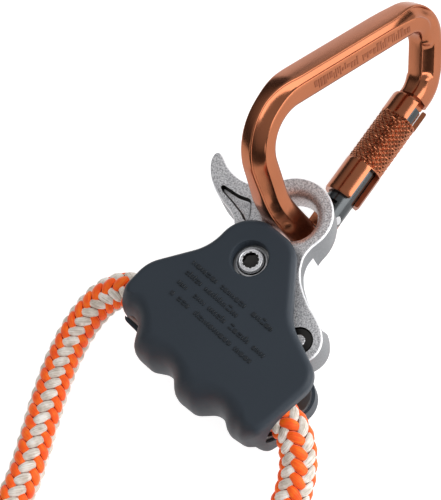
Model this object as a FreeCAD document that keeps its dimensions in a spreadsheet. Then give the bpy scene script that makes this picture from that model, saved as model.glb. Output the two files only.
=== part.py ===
import FreeCAD, Part
import math
import os

import Sketcher

# Rope grab (adjuster) for a positioning lanyard: a bent steel channel that the rope runs
# through, a forged arm with an eye, a toothed cam shoe on the arm's tail, two moulded
# covers with finger grooves, an auto-locking carabiner in the eye, and the rope itself.
# Frame: +X along the rope channel, +Y from the finger grooves towards the eye, +Z up.
# The part lies on its rear cover. Inside the code, z is measured from the channel's mid
# plane, and one common placement stands the whole part on z = 0.

V = FreeCAD.Vector
doc = FreeCAD.newDocument("rope_grab")
sheet = doc.addObject("Spreadsheet::Sheet", "sizes")

DRIVING = {
    "rope_diameter": 12.7,
    "channel_gap": 16.5,
    "plate_thickness": 2.0,
    "front_cover_thickness": 4.5,
    "rear_cover_thickness": 7.85,
    "pivot_x": -6.0,
    "pivot_y": 30.3,
    "bolt_radius": 3.0,
    "bolt_head_radius": 4.9,
    "bolt_head_height": 2.4,
    "bolt_recess_radius": 6.3,
    "nut_radius": 5.6,
    "nut_height": 4.6,
    "washer_thickness": 1.9,
    "washer_radius": 7.2,
    "bush_wall": 1.5,
    "arm_thickness": 12.0,
    "eye_x": -8.9,
    "eye_y": 51.8,
    "eye_hole_radius": 8.2,
    "eye_outer_radius": 13.6,
    "eye_edge_radius": 3.4,
    "tail_x": 23.2,
    "tail_y": 21.5,
    "tail_radius": 7.8,
    "tail_slot": 7.0,
    "cam_pin_radius": 2.0,
    "cam_pin_head_radius": 4.2,
    "cam_pin_recess": 1.5,
    "cam_width": 15.7,
    "stop_x": -23.5,
    "stop_y": 13.0,
    "stop_radius": 2.5,
    "running_gap": 0.05,
    "clear_gap": 0.3,
    "rod_in_plane": 10.2,
    "rod_across": 10.2,
    "gate_radius": 5.0,
    "gate_length": 49.2,
    "sleeve_radius": 7.1,
    "sleeve_bore": 5.3,
    "sleeve_start": 8.0,
    "sleeve_end": 51.0,
    "tongue_width": 5.2,
    "tongue_radius": 4.7,
    "fork_slot": 5.8,
    "hinge_pin_radius": 1.6,
    "plunger_radius": 1.9,
    "hinge_x": -7.0,
    "hinge_y": 63.3,
    "hinge_drop": -11.2,
    "gate_heading": 98.4,
    "carabiner_lean": 70.0,
    "spring_radius": 6.0,
    "spring_wire": 0.55,
    "spring_depth": 3.9,
    "coil_x": 34.0,
    "coil_y": -150.0,
    "coil_outer_radius": 70.0,
    "coil_inner_radius": 43.5,
    "coil_height": 25.4,
}
for row, (alias, number) in enumerate(DRIVING.items(), start=1):
    sheet.set(f"A{row}", alias)
    sheet.set(f"B{row}", str(number))
    sheet.setAlias(f"B{row}", alias)
doc.recompute()


def size(alias):
    """The value of a driving dimension, in millimetres or degrees."""
    return float(getattr(sheet, alias))


HALF_GAP = size("channel_gap") / 2
PLATE_FACE = HALF_GAP + size("plate_thickness")
FRONT_FACE = PLATE_FACE + size("front_cover_thickness")
REAR_FACE = PLATE_FACE + size("rear_cover_thickness")
ROPE_RADIUS = size("rope_diameter") / 2
PLATE_FACE_TEXT = "(sizes.channel_gap / 2 + sizes.plate_thickness)"
FRONT_FACE_TEXT = "(sizes.channel_gap / 2 + sizes.plate_thickness + sizes.front_cover_thickness)"
REAR_FACE_TEXT = "(sizes.channel_gap / 2 + sizes.plate_thickness + sizes.rear_cover_thickness)"

# The origin is under the middle of the grab and its carabiner, on the surface it lies on.
MIDDLE_X = -3.6
MIDDLE_Y = 58.9
STAND = FreeCAD.Placement(V(-MIDDLE_X, -MIDDLE_Y, REAR_FACE), FreeCAD.Rotation())
TURN = FreeCAD.Rotation(V(0, 0, 1), size("gate_heading"))
LEAN = FreeCAD.Rotation(V(1, 0, 0), size("carabiner_lean"))
HINGE = V(size("hinge_x"), size("hinge_y"), size("hinge_drop"))
CARABINER = STAND.multiply(FreeCAD.Placement(HINGE, TURN.multiply(LEAN)))

nodes = []


# ------------------------------------------------------------------ building helpers
def keep(label, feature, seat=STAND):
    """Makes a finished feature a named sub-part that stands at its seat."""
    if any("Placement" in path for path, _ in feature.ExpressionEngine):
        whole = doc.addObject("Part::Refine", label + "_whole")
        whole.Source = feature
        feature = whole
    feature.Label = label
    doc.recompute()
    feature.Placement = seat.multiply(feature.Placement)
    nodes.append(feature)
    return feature


def place(feature, base=(0, 0, 0), axis=(0, 0, 1), angle=0):
    feature.Placement = FreeCAD.Placement(V(*base), FreeCAD.Rotation(V(*axis), angle))
    return feature


def bind(feature, **expressions):
    """Ties properties to the sheet; a double underscore in a name stands for a dot."""
    for name, text in expressions.items():
        feature.setExpression(name.replace("__", "."), text)
    return feature


def cylinder(name, radius, height, base=(0, 0, 0), axis=(0, 0, 1), angle=0, **more):
    feature = doc.addObject("Part::Cylinder", name)
    place(feature, base, axis, angle)
    return bind(feature, Radius=radius, Height=height, **more)


def block(name, length, width, height, base=(0, 0, 0)):
    feature = doc.addObject("Part::Box", name)
    feature.Length = length
    feature.Width = width
    feature.Height = height
    return place(feature, base)


def cut(name, base, *tools):
    feature = base
    for number, tool in enumerate(tools):
        step = doc.addObject("Part::Cut", f"{name}_cut_{number}")
        step.Base = feature
        step.Tool = tool
        feature = step
    return feature


def fuse(name, *shapes):
    feature = doc.addObject("Part::MultiFuse", name)
    feature.Shapes = list(shapes)
    return feature


def common(name, *shapes):
    feature = doc.addObject("Part::MultiCommon", name)
    feature.Shapes = list(shapes)
    return feature


def corner_arc(before, corner, after, radius):
    """The tangent points and the middle of the arc that rounds one corner."""
    back = (before - corner).normalize()
    ahead = (after - corner).normalize()
    half = back.getAngle(ahead) / 2
    reach = radius / math.tan(half)
    inward = (back + ahead).normalize()
    middle = corner + inward * (radius / math.sin(half) - radius)
    return corner + back * reach, middle, corner + ahead * reach


def rounded_edges(corners, closed=True):
    """Lines and tangent arcs along (x, y, radius) corners."""
    points = [V(x, y, 0) for x, y, _ in corners]
    count = len(points)
    stops = []
    for i, (_, _, radius) in enumerate(corners):
        at_end = not closed and i in (0, count - 1)
        if radius == 0 or at_end:
            stops.append((points[i], None, points[i]))
        else:
            stops.append(corner_arc(points[i - 1], points[i], points[(i + 1) % count], radius))
    edges = []
    for i, (start, middle, end) in enumerate(stops):
        if middle is not None:
            edges.append(Part.Arc(start, middle, end))
        if i == count - 1 and not closed:
            break
        following = stops[(i + 1) % count][0]
        if (following - end).Length > 1e-6:
            edges.append(Part.LineSegment(end, following))
    return edges


def new_sketch(body, name, role, offset=0.0):
    sketch = body.newObject("Sketcher::SketchObject", name)
    plane = next(f for f in body.Origin.OriginFeatures if f.Role == role)
    sketch.AttachmentSupport = [(plane, "")]
    sketch.MapMode = "FlatFace"
    sketch.AttachmentOffset = FreeCAD.Placement(V(0, 0, offset), FreeCAD.Rotation())
    return sketch


def outline(body, name, corners, offset_text):
    """A sketch of a rounded outline, at a height tied to the sheet."""
    sketch = new_sketch(body, name, "XY_Plane")
    sketch.setExpression("AttachmentOffset.Base.z", offset_text)
    for edge in rounded_edges(corners):
        sketch.addGeometry(edge, False)
    return sketch


def disc(body, name, x, y, radius, offset_text, radius_text):
    """A sketch of one circle whose radius is tied to the sheet."""
    sketch = new_sketch(body, name, "XY_Plane")
    sketch.setExpression("AttachmentOffset.Base.z", offset_text)
    circle = sketch.addGeometry(Part.Circle(V(x, y, 0), V(0, 0, 1), radius), False)
    sketch.addConstraint(Sketcher.Constraint("Radius", circle, radius))
    sketch.setExpression("Constraints[0]", radius_text)
    return sketch


def pad(body, sketch, length_text):
    feature = body.newObject("PartDesign::Pad", sketch.Name + "_pad")
    feature.Profile = sketch
    feature.setExpression("Length", length_text)
    body.Tip = feature
    return feature


def pocket(body, sketch, length_text):
    """Removes the profile upwards from its sketch."""
    feature = body.newObject("PartDesign::Pocket", sketch.Name + "_pocket")
    feature.Profile = sketch
    feature.Reversed = True
    feature.setExpression("Length", length_text)
    body.Tip = feature
    return feature


def circle_edges(feature, radius):
    """Names of a feature's full circular edges of one radius."""
    found = []
    for number, edge in enumerate(feature.Shape.Edges, start=1):
        if isinstance(edge.Curve, Part.Circle) and abs(edge.Curve.Radius - radius) < 1e-4:
            found.append(f"Edge{number}")
    return found


# ------------------------------------------------------------------ steel channel
def side_plate_corners():
    return [
        (-16.4, 40.2, 10.0),
        (0.6, 40.2, 8.0),
        (17.0, 20.8, 18.0),
        (36.0, 12.4, 8.0),
        (34.8, -12.0, 1.0),
        (-29.5, -12.0, 1.0),
        (-30.5, 6.0, 8.0),
        (-18.0, 26.0, 16.0),
    ]


def make_housing():
    """A steel strip bent to a U along the rope, its two plates carrying the pins."""
    outer = block("bend_outer_box", 90, 60, 1, (-45, 0, 0))
    bind(outer, Height=f"2 * {PLATE_FACE_TEXT}", Placement__Base__z=f"-{PLATE_FACE_TEXT}")
    bend = cylinder("bend_outer", PLATE_FACE_TEXT, "90", (-45, 0, 0), (0, 1, 0), 90)
    inner = block("bend_inner_box", 90, 61, 1, (-45, 0, 0))
    bind(inner, Height="sizes.channel_gap", Placement__Base__z="-sizes.channel_gap / 2")
    hollow = cylinder("bend_inner", "sizes.channel_gap / 2", "90", (-45, 0, 0), (0, 1, 0), 90)
    body = doc.addObject("PartDesign::Body", "plate_shape")
    pad(body, outline(body, "plate_outline", side_plate_corners(), "-15"), "30")
    strip = common("channel_strip", fuse("bend_outside", outer, bend), body)
    pivot_hole = cylinder("plate_pivot_hole", "sizes.bolt_radius + 0.02", "30",
                          (size("pivot_x"), size("pivot_y"), -15))
    stop_hole = cylinder("plate_stop_hole", "sizes.stop_radius", "30",
                         (size("stop_x"), size("stop_y"), -15))
    keep("housing", cut("housing", strip, fuse("bend_inside", inner, hollow), pivot_hole, stop_hole))


# ------------------------------------------------------------------ moulded covers
def front_cover_corners():
    """The front cover's outline: a lobe round the pivot, a wide middle and the finger grip."""
    return [
        (-20.0, 43.5, 12.0),
        (2.6, 43.7, 10.0),
        (19.8, 23.2, 18.0),
        (40.0, 15.2, 8.5),
        (37.6, -11.0, 5.0),
        (33.2, -15.2, 4.5),
        (26.4, -16.2, 4.5),
        (20.4, -12.2, 5.0),
        (13.4, -18.8, 5.2),
        (4.4, -19.4, 5.2),
        (-1.4, -13.7, 5.0),
        (-8.6, -17.9, 5.2),
        (-17.6, -18.1, 5.2),
        (-23.4, -8.2, 5.1),
        (-32.5, -11.3, 3.0),
        (-32.6, 7.0, 13.0),
        (-20.2, 25.0, 18.0),
    ]


def rear_cover_corners():
    """The rear cover's outline: the same lobe, a little inside the front one, with shallow waves below."""
    return [
        (-18.4, 41.8, 11.5),
        (0.9, 41.8, 9.0),
        (17.6, 21.8, 18.0),
        (36.9, 13.3, 8.5),
        (35.6, -11.6, 4.0),
        (30.5, -13.4, 4.0),
        (24.5, -13.8, 5.0),
        (17.4, -12.0, 5.0),
        (11.6, -14.6, 5.0),
        (2.4, -14.8, 5.0),
        (-3.4, -12.2, 5.0),
        (-9.2, -14.2, 5.0),
        (-18.2, -13.8, 5.0),
        (-24.1, -11.6, 5.0),
        (-31.2, -11.4, 2.0),
        (-31.4, 6.2, 12.0),
        (-18.9, 24.6, 18.0),
    ]


def make_cover(label, corners, low_text, thickness_text, inside_side):
    """One half of the grip: a flat side over its plate and half of the finger grip."""
    body = doc.addObject("PartDesign::Body", label + "_shape")
    pad(body, outline(body, label + "_outline", corners, low_text), thickness_text)
    room = block(label + "_room", 100, 60, 1, (-50, 0, 0))
    bind(room, Height=PLATE_FACE_TEXT, Placement__Base__z=f"{inside_side} * {PLATE_FACE_TEXT}")
    bend = cylinder(label + "_bend", PLATE_FACE_TEXT, "100", (-50, 0, 0), (0, 1, 0), 90)
    recess = cylinder(label + "_recess", "sizes.bolt_recess_radius", "60",
                      (size("pivot_x"), size("pivot_y"), -30))
    keep(label, cut(label, body, room, bend, recess))


def make_covers():
    make_cover("front_cover", front_cover_corners(), "0", FRONT_FACE_TEXT, 0)
    make_cover("rear_cover", rear_cover_corners(), f"-{REAR_FACE_TEXT}", REAR_FACE_TEXT, -1)


# ------------------------------------------------------------------ pivot and its fittings
def at_pivot(name, radius, height, low):
    return cylinder(name, radius, height, (size("pivot_x"), size("pivot_y"), 0),
                    Placement__Base__z=low)


def hex_prism(name, circumradius, height, low):
    feature = doc.addObject("Part::Prism", name)
    feature.Polygon = 6
    place(feature, (size("pivot_x"), size("pivot_y"), 0))
    return bind(feature, Circumradius=circumradius, Height=height, Placement__Base__z=low)


def make_pivot():
    head_low = PLATE_FACE_TEXT
    head = at_pivot("bolt_head", "sizes.bolt_head_radius", "sizes.bolt_head_height", head_low)
    shank_length = f"2 * {PLATE_FACE_TEXT} + sizes.nut_height + 0.5"
    shank_low = f"-{PLATE_FACE_TEXT} - sizes.nut_height - 0.5"
    shank = at_pivot("bolt_shank", "sizes.bolt_radius", shank_length, shank_low)
    socket = hex_prism("bolt_socket", "2.6", "2", f"{head_low} + 0.8")
    keep("pivot_bolt", cut("pivot_bolt", fuse("bolt_blank", head, shank), socket))

    nut = hex_prism("nut_blank", "sizes.nut_radius", "sizes.nut_height",
                    f"-{PLATE_FACE_TEXT} - sizes.nut_height")
    thread = at_pivot("nut_thread", "sizes.bolt_radius", "20", "-25")
    keep("pivot_nut", cut("pivot_nut", nut, thread))

    washers = []
    lows = (f"sizes.channel_gap / 2 - sizes.washer_thickness", "-sizes.channel_gap / 2")
    for number, low in enumerate(lows):
        ring = at_pivot(f"washer_blank_{number}", "sizes.washer_radius",
                        "sizes.washer_thickness", low)
        hole = at_pivot(f"washer_hole_{number}", "sizes.bolt_radius + 0.05", "40", "-20")
        washers.append(cut(f"washer_{number}", ring, hole))
    keep("thrust_washers", fuse("thrust_washers", *washers))

    sleeve = at_pivot("bush_outer", "sizes.bolt_radius + sizes.bush_wall",
                      "sizes.arm_thickness", "-sizes.arm_thickness / 2")
    bore = at_pivot("bush_bore", "sizes.bolt_radius + sizes.running_gap", "40", "-20")
    keep("pivot_bush", cut("pivot_bush", sleeve, bore))

    line = doc.addObject("Part::Helix", "return_spring_line")
    bind(line, Radius="sizes.spring_radius", Pitch="2 * sizes.spring_wire + 0.1",
         Height="2 * (2 * sizes.spring_wire + 0.1)")
    wire = doc.addObject("Part::Circle", "return_spring_wire")
    bind(wire, Radius="sizes.spring_wire")
    place(wire, (size("spring_radius"), 0, 0), (1, 0, 0), 90)
    spring = doc.addObject("Part::Sweep", "return_spring")
    spring.Sections = [wire]
    spring.Spine = (line, ["Edge1"])
    spring.Solid = True
    spring.Frenet = True
    doc.recompute()
    low = -size("arm_thickness") / 2 + size("spring_wire") + 0.1
    keep("arm_return_spring", place(spring, (size("pivot_x"), size("pivot_y"), low)))

    spot = (size("stop_x"), size("stop_y"), 0)
    rod = cylinder("stop_rod", "sizes.stop_radius", f"2 * {PLATE_FACE_TEXT}", spot,
                   Placement__Base__z=f"-{PLATE_FACE_TEXT}")
    collar = cylinder("stop_collar", "sizes.stop_radius + 1.2", "sizes.channel_gap", spot,
                      Placement__Base__z="-sizes.channel_gap / 2")
    keep("stop_pin", fuse("stop_pin", rod, collar))


# ------------------------------------------------------------------ arm with its eye and horn
def arm_corners():
    """The arm's web: the thumb horn, the side of the eye, the waist and the tail."""
    return [
        (3.0, 50.0, 0),
        (3.9, 42.0, 9.0),
        (11.5, 34.0, 14.0),
        (25.0, 29.0, 4.0),
        (27.5, 22.0, 2.0),
        (24.0, 16.0, 2.0),
        (9.0, 16.6, 6.0),
        (-7.0, 20.6, 10.0),
        (-17.0, 30.0, 8.0),
        (-22.0, 38.6, 6.0),
        (-32.0, 40.0, 14.0),
        (-41.5, 43.2, 9.0),
        (-47.2, 52.6, 0.8),
        (-44.2, 53.0, 0.8),
        (-40.0, 49.6, 7.0),
        (-33.0, 49.4, 6.0),
        (-24.0, 54.0, 8.0),
        (-16.0, 58.0, 0),
    ]


def make_arm():
    body = doc.addObject("PartDesign::Body", "arm_forging")
    low = "-sizes.arm_thickness / 2"
    full = "sizes.arm_thickness"
    eye = (size("eye_x"), size("eye_y"))
    tail = (size("tail_x"), size("tail_y"))
    pivot = (size("pivot_x"), size("pivot_y"))
    pad(body, outline(body, "arm_web", arm_corners(), low), full)
    pad(body, disc(body, "eye_ring", *eye, size("eye_outer_radius"), low, "sizes.eye_outer_radius"), full)
    pad(body, disc(body, "tail_ring", *tail, 7.8, low, "sizes.tail_radius"), full)
    holes = (
        ("eye_hole", eye, size("eye_hole_radius"), low, "sizes.eye_hole_radius", full),
        ("bush_seat", pivot, 4.5, low, "sizes.bolt_radius + sizes.bush_wall", full),
        ("tail_hole", tail, 2.0, low, "sizes.cam_pin_radius", full),
        ("tail_slot", tail, 6.9, "-sizes.tail_slot / 2", "sizes.tail_radius - 0.9", "sizes.tail_slot"),
        ("front_recess", tail, 4.5, "sizes.arm_thickness / 2 - sizes.cam_pin_recess",
         "sizes.cam_pin_head_radius + 0.3", "sizes.cam_pin_recess"),
        ("rear_recess", tail, 4.5, low, "sizes.cam_pin_head_radius + 0.3", "sizes.cam_pin_recess"),
        ("spring_seat", pivot, 7.4, low, "sizes.spring_radius + 1.3", "sizes.spring_depth"),
    )
    for name, spot, radius, height, radius_text, depth in holes:
        pocket(body, disc(body, name, *spot, radius, height, radius_text), depth)
    slot_mouth = [(17.0, 20.0, 0), (29.4, 20.0, 0), (33.0, 10.0, 0), (13.0, 10.0, 0)]
    pocket(body, outline(body, "slot_mouth", slot_mouth, "-sizes.tail_slot / 2"), "sizes.tail_slot")
    thumb = [(-40.5, 45.0, 0.5), (-30.0, 43.2, 2.0), (-24.0, 46.2, 0.8), (-34.0, 47.6, 0.8)]
    pocket(body, outline(body, "thumb_pocket", thumb, "sizes.arm_thickness / 2 - 1"), "1")
    doc.recompute()
    solid = body.Tip
    rims = circle_edges(solid, size("eye_hole_radius"))
    rounding = body.newObject("PartDesign::Fillet", "eye_rounding")
    rounding.Base = (solid, rims)
    rounding.setExpression("Radius", "sizes.eye_edge_radius")
    body.Tip = rounding
    body.Label = "arm_forging"
    rim = cylinder("rim_sector", "sizes.eye_outer_radius + 3", "2.2", (*eye, -6.3), angle=5)
    rim.Angle = 160
    cone = doc.addObject("Part::Cone", "rim_cone")
    place(cone, (*eye, -6.3))
    bind(cone, Radius1="sizes.eye_outer_radius - 2.2", Radius2="sizes.eye_outer_radius", Height="2.2")
    keep("arm", cut("arm_eased", body, cut("rim_tool", rim, cone)))


# ------------------------------------------------------------------ cam shoe on the tail
def make_cam():
    """A sector with a toothed round face that presses the rope into the bend."""
    tail = (size("tail_x"), size("tail_y"))
    face = tail[1] - ROPE_RADIUS - size("clear_gap")
    blank = cylinder("cam_blank", str(face), "sizes.cam_width", (*tail, 0),
                     Placement__Base__z="-sizes.cam_width / 2")
    relief = cylinder("cam_relief", "sizes.tail_radius + 0.35", "40", (*tail, -20))
    wedge = doc.addObject("PartDesign::Body", "cam_wedge")
    sides = [(*tail, 0), (tail[0] - 14, tail[1] - 18, 0), (tail[0] + 10, tail[1] - 18, 0)]
    pad(wedge, outline(wedge, "cam_sides", sides, "-10"), "20")
    shoe = cut("cam_shoe_sector", common("cam_sector", blank, wedge), relief)
    neck_body = doc.addObject("PartDesign::Body", "cam_neck")
    neck = [(tail[0] - 4.2, tail[1], 0), (tail[0] + 3.4, tail[1], 0),
            (tail[0] + 4.2, tail[1] - 10, 0), (tail[0] - 6.0, tail[1] - 10, 0)]
    pad(neck_body, outline(neck_body, "cam_neck_outline", neck, "-sizes.tail_slot / 2 + 0.3"),
        "sizes.tail_slot - 0.6")
    eye = cylinder("cam_eye", "5.2", "sizes.tail_slot - 0.6", (*tail, 0),
                   Placement__Base__z="-sizes.tail_slot / 2 + 0.3")
    bore = cylinder("cam_bore", "sizes.cam_pin_radius + sizes.running_gap", "40", (*tail, -20))
    teeth = []
    for number in range(9):
        heading = math.radians(-122 + number * 8)
        spot = (tail[0] + (face + 0.35) * math.cos(heading), tail[1] + (face + 0.35) * math.sin(heading))
        teeth.append(cylinder(f"cam_groove_{number}", "0.75", "40", (*spot, -20)))
    keep("cam_shoe", cut("cam_shoe", fuse("cam_solid", shoe, neck_body, eye), bore, *teeth))

    head_low = "(sizes.arm_thickness / 2 - sizes.cam_pin_recess)"
    rod = cylinder("cam_rod", "sizes.cam_pin_radius", "sizes.arm_thickness - 2 * sizes.cam_pin_recess + 0.9",
                   (*tail, 0), Placement__Base__z=f"-{head_low} - 0.9")
    head = cylinder("cam_pin_head", "sizes.cam_pin_head_radius", "1.2", (*tail, 0),
                    Placement__Base__z=head_low)
    boss = cylinder("cam_pin_boss", "sizes.cam_pin_radius", "0.5", (*tail, 0),
                    Placement__Base__z=f"{head_low} + 1.1")
    keep("cam_pin", fuse("cam_pin", rod, head, boss))
    clip = cylinder("clip_blank", "sizes.cam_pin_head_radius - 0.4", "0.8", (*tail, 0),
                    Placement__Base__z=f"-{head_low} - 0.8")
    clip_hole = cylinder("clip_hole", "sizes.cam_pin_radius", "40", (*tail, -20))
    keep("cam_pin_clip", cut("cam_pin_clip", clip, clip_hole))


# ------------------------------------------------------------------ carabiner, in its own plane
# Here x runs from the hinge pin along the gate, y towards the spine and z across the plane.
def spine_corners():
    """The bar's centreline from the nose round the top, down the spine and under the eye."""
    return [
        (52.6, 0.0, 0),
        (59.0, 0.0, 11.0),
        (77.0, 23.5, 10.2),
        (-1.3, 61.6, 17.3),
        (-12.7, 26.9, 30.0),
        (-11.4, -0.2, 5.8),
        (-5.4, -0.2, 0),
    ]


def rounded_bar(name, route, width, across, radius):
    """A rounded rectangle swept along a route that starts in the -x direction at its first point."""
    path = doc.addObject("Sketcher::SketchObject", name + "_route")
    for edge in rounded_edges(route, closed=False):
        path.addGeometry(edge, False)
    section = doc.addObject("Sketcher::SketchObject", name + "_section")
    start = route[0]
    place(section, (start[0], start[1], 0), (0, 1, 0), 90)
    half_y = width / 2
    half_z = across / 2
    ring = [(-half_z, -half_y, radius), (half_z, -half_y, radius),
            (half_z, half_y, radius), (-half_z, half_y, radius)]
    for edge in rounded_edges(ring):
        section.addGeometry(edge, False)
    doc.recompute()
    bar = doc.addObject("Part::Sweep", name + "_bar")
    bar.Sections = [section]
    bar.Spine = (path, [f"Edge{i + 1}" for i in range(len(path.Shape.Edges))])
    bar.Solid = True
    bar.Transition = 1
    doc.recompute()
    return bar


def make_carabiner_body():
    bar = rounded_bar("body", spine_corners(), size("rod_in_plane"), size("rod_across"), 3.4)
    channel_route = [
        (68.2, 12.2, 0),
        (77.0, 23.5, 10.2),
        (-1.3, 61.6, 17.3),
        (-12.7, 26.9, 30.0),
        (-12.15, 14.0, 0),
    ]
    grooves = []
    for side in (1, -1):
        name = "front_channel" if side > 0 else "rear_channel"
        path = doc.addObject("Sketcher::SketchObject", name + "_route")
        for edge in rounded_edges(channel_route, closed=False):
            path.addGeometry(edge, False)
        section = doc.addObject("Sketcher::SketchObject", name + "_section")
        first = V(*channel_route[0][:2], 0)
        second = V(*channel_route[1][:2], 0)
        along = second - first
        turn = FreeCAD.Rotation(V(0, 0, 1), math.degrees(math.atan2(along.y, along.x)))
        stand = FreeCAD.Rotation(V(0, 1, 0), 90)
        section.Placement = FreeCAD.Placement(first + V(0, 0, side * size("rod_across") / 2),
                                              turn.multiply(stand))
        ring = [(-1.2, -3.1, 1.0), (1.2, -3.1, 1.0), (1.2, 3.1, 1.0), (-1.2, 3.1, 1.0)]
        for edge in rounded_edges(ring):
            section.addGeometry(edge, False)
        doc.recompute()
        groove = doc.addObject("Part::Sweep", name)
        groove.Sections = [section]
        groove.Spine = (path, [f"Edge{i + 1}" for i in range(len(path.Shape.Edges))])
        groove.Solid = True
        groove.Transition = 1
        grooves.append(groove)
    tongue = cylinder("tongue_disc", "sizes.tongue_radius", "sizes.tongue_width", (0, 0, 0),
                      Placement__Base__z="-sizes.tongue_width / 2")
    neck = block("tongue_neck", 7.0, 1, 1, (-7.0, 0, 0))
    bind(neck, Width="2 * sizes.tongue_radius - 0.4", Height="sizes.tongue_width",
         Placement__Base__y="-sizes.tongue_radius + 0.2", Placement__Base__z="-sizes.tongue_width / 2")
    nose = block("nose_tongue", 4.0, 8.2, 1, (50.0, -4.2, 0))
    bind(nose, Height="sizes.tongue_width", Placement__Base__z="-sizes.tongue_width / 2")
    pin_hole = cylinder("tongue_hole", "sizes.hinge_pin_radius", "30", (0, 0, -15))
    solid = fuse("carabiner_solid", cut("bar_with_channels", bar, *grooves), tongue, neck, nose)
    keep("carabiner_body", cut("carabiner_body", solid, pin_hole), CARABINER)


def along_gate(name, radius, length, start_text, y=0.0):
    """A cylinder on, or parallel to, the gate's axis."""
    return cylinder(name, radius, length, (0, y, 0), (0, 1, 0), 90, Placement__Base__x=start_text)


def make_gate():
    core = along_gate("gate_core", "sizes.gate_radius", "sizes.gate_length", "0")
    knuckle = doc.addObject("Part::Sphere", "gate_knuckle")
    bind(knuckle, Radius="sizes.gate_radius")
    slot = block("gate_slot", 13.1, 14.0, 1, (-8.0, -7.0, 0))
    bind(slot, Height="sizes.fork_slot", Placement__Base__z="-sizes.fork_slot / 2")
    pin_hole = cylinder("gate_pin_hole", "sizes.hinge_pin_radius + sizes.running_gap", "30", (0, 0, -15))
    bore = along_gate("gate_bore", "sizes.plunger_radius + sizes.running_gap", "20", "5", 1.4)
    keep("gate", cut("gate", fuse("gate_solid", core, knuckle), slot, pin_hole, bore), CARABINER)

    pin = cylinder("hinge_pin_rod", "sizes.hinge_pin_radius", "2 * sizes.gate_radius - 0.6", (0, 0, 0),
                   Placement__Base__z="-sizes.gate_radius + 0.3")
    keep("gate_hinge_pin", pin, CARABINER)

    plunger = along_gate("plunger_rod", "sizes.plunger_radius", "6.5", "5.1", 1.4)
    keep("gate_plunger", plunger, CARABINER)

    coils = doc.addObject("Part::Helix", "gate_spring_line")
    coils.Pitch = 1.6
    coils.Height = 12.0
    coils.Radius = 1.35
    section = doc.addObject("Part::Circle", "gate_spring_section")
    section.Radius = 0.3
    place(section, (1.35, 0, 0), (1, 0, 0), 90)
    spring = doc.addObject("Part::Sweep", "gate_spring_wire")
    spring.Sections = [section]
    spring.Spine = (coils, ["Edge1"])
    spring.Solid = True
    spring.Frenet = True
    doc.recompute()
    place(spring, (12.2, 1.4, 0), (0, 1, 0), 90)
    keep("gate_spring", spring, CARABINER)


def sector(name, start, end, x_low, x_high):
    """A pie slice about the gate's axis, from one angle to another, where 0 is +y and 90 is +z."""
    slice_ = doc.addObject("Part::Cylinder", name)
    slice_.Radius = 12
    slice_.Height = x_high - x_low
    slice_.Angle = (end - start) % 360
    slice_.Placement = FreeCAD.Placement(
        V(x_low, 0, 0),
        FreeCAD.Rotation(V(1, 0, 0), start).multiply(FreeCAD.Rotation(V(0, 1, 0), V(0, 0, 1), V(1, 0, 0))),
    )
    return slice_


# Angles about the gate's axis: the prongs beside the mouths that let the nose pass.
PRONG_LOW = 128.0
PRONG_HIGH = 146.0
MOUTH_START = 60.0
MOUTH_END = 238.0


def make_sleeve():
    tube = along_gate("sleeve_tube", "sizes.sleeve_radius", "sizes.sleeve_end - sizes.sleeve_start",
                      "sizes.sleeve_start")
    bore = along_gate("sleeve_hole", "sizes.sleeve_bore", "60", "0")
    start = size("sleeve_start")
    end = size("sleeve_end")
    mouths = [
        sector("top_mouth_near", MOUTH_START, PRONG_LOW, end - 8.0, end + 1),
        sector("top_mouth_far", PRONG_HIGH, MOUTH_END, end - 8.0, end + 1),
        sector("low_mouth_near", MOUTH_START, PRONG_LOW, start - 1, start + 13.2),
        sector("low_mouth_far", PRONG_HIGH, MOUTH_END, start - 1, start + 13.2),
    ]
    keep("lock_sleeve", cut("lock_sleeve", tube, bore, *mouths), CARABINER)


def make_carabiner():
    make_carabiner_body()
    make_gate()
    make_sleeve()


# ------------------------------------------------------------------ rope
# Route points are measured from the channel's mid point, with z from the surface below.
LEFT_ROUTE = [
    (-26.0, 0.0, REAR_FACE),
    (-32.2, 0.0, REAR_FACE),
    (-38.7, -3.4, 17.3),
    (-43.0, -9.4, 15.2),
    (-44.3, -17.2, 12.8),
    (-43.9, -25.5, 10.2),
    (-42.0, -34.0, 8.0),
    (-38.6, -42.5, 6.9),
    (-34.0, -51.2, 6.5),
    (-28.6, -60.2, 6.5),
    (-23.0, -69.6, 6.5),
    (-18.4, -79.6, 6.5),
    (-16.6, -91.0, 6.5),
    (-18.0, -103.0, 6.5),
    (-21.8, -115.0, 6.5),
    (-26.0, -127.0, 6.5),
    (-28.6, -137.5, 6.5),
]
RIGHT_ROUTE = [
    (31.0, 0.0, REAR_FACE),
    (37.5, 0.0, 17.8),
    (43.6, -2.6, 15.9),
    (48.6, -7.6, 13.4),
    (52.1, -13.8, 10.6),
    (54.5, -20.8, 8.2),
    (56.8, -28.4, 6.9),
    (60.0, -36.8, 6.5),
    (64.4, -45.4, 6.5),
    (70.2, -53.8, 6.7),
    (77.0, -61.0, 7.0),
    (84.0, -66.4, 7.0),
]


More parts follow.
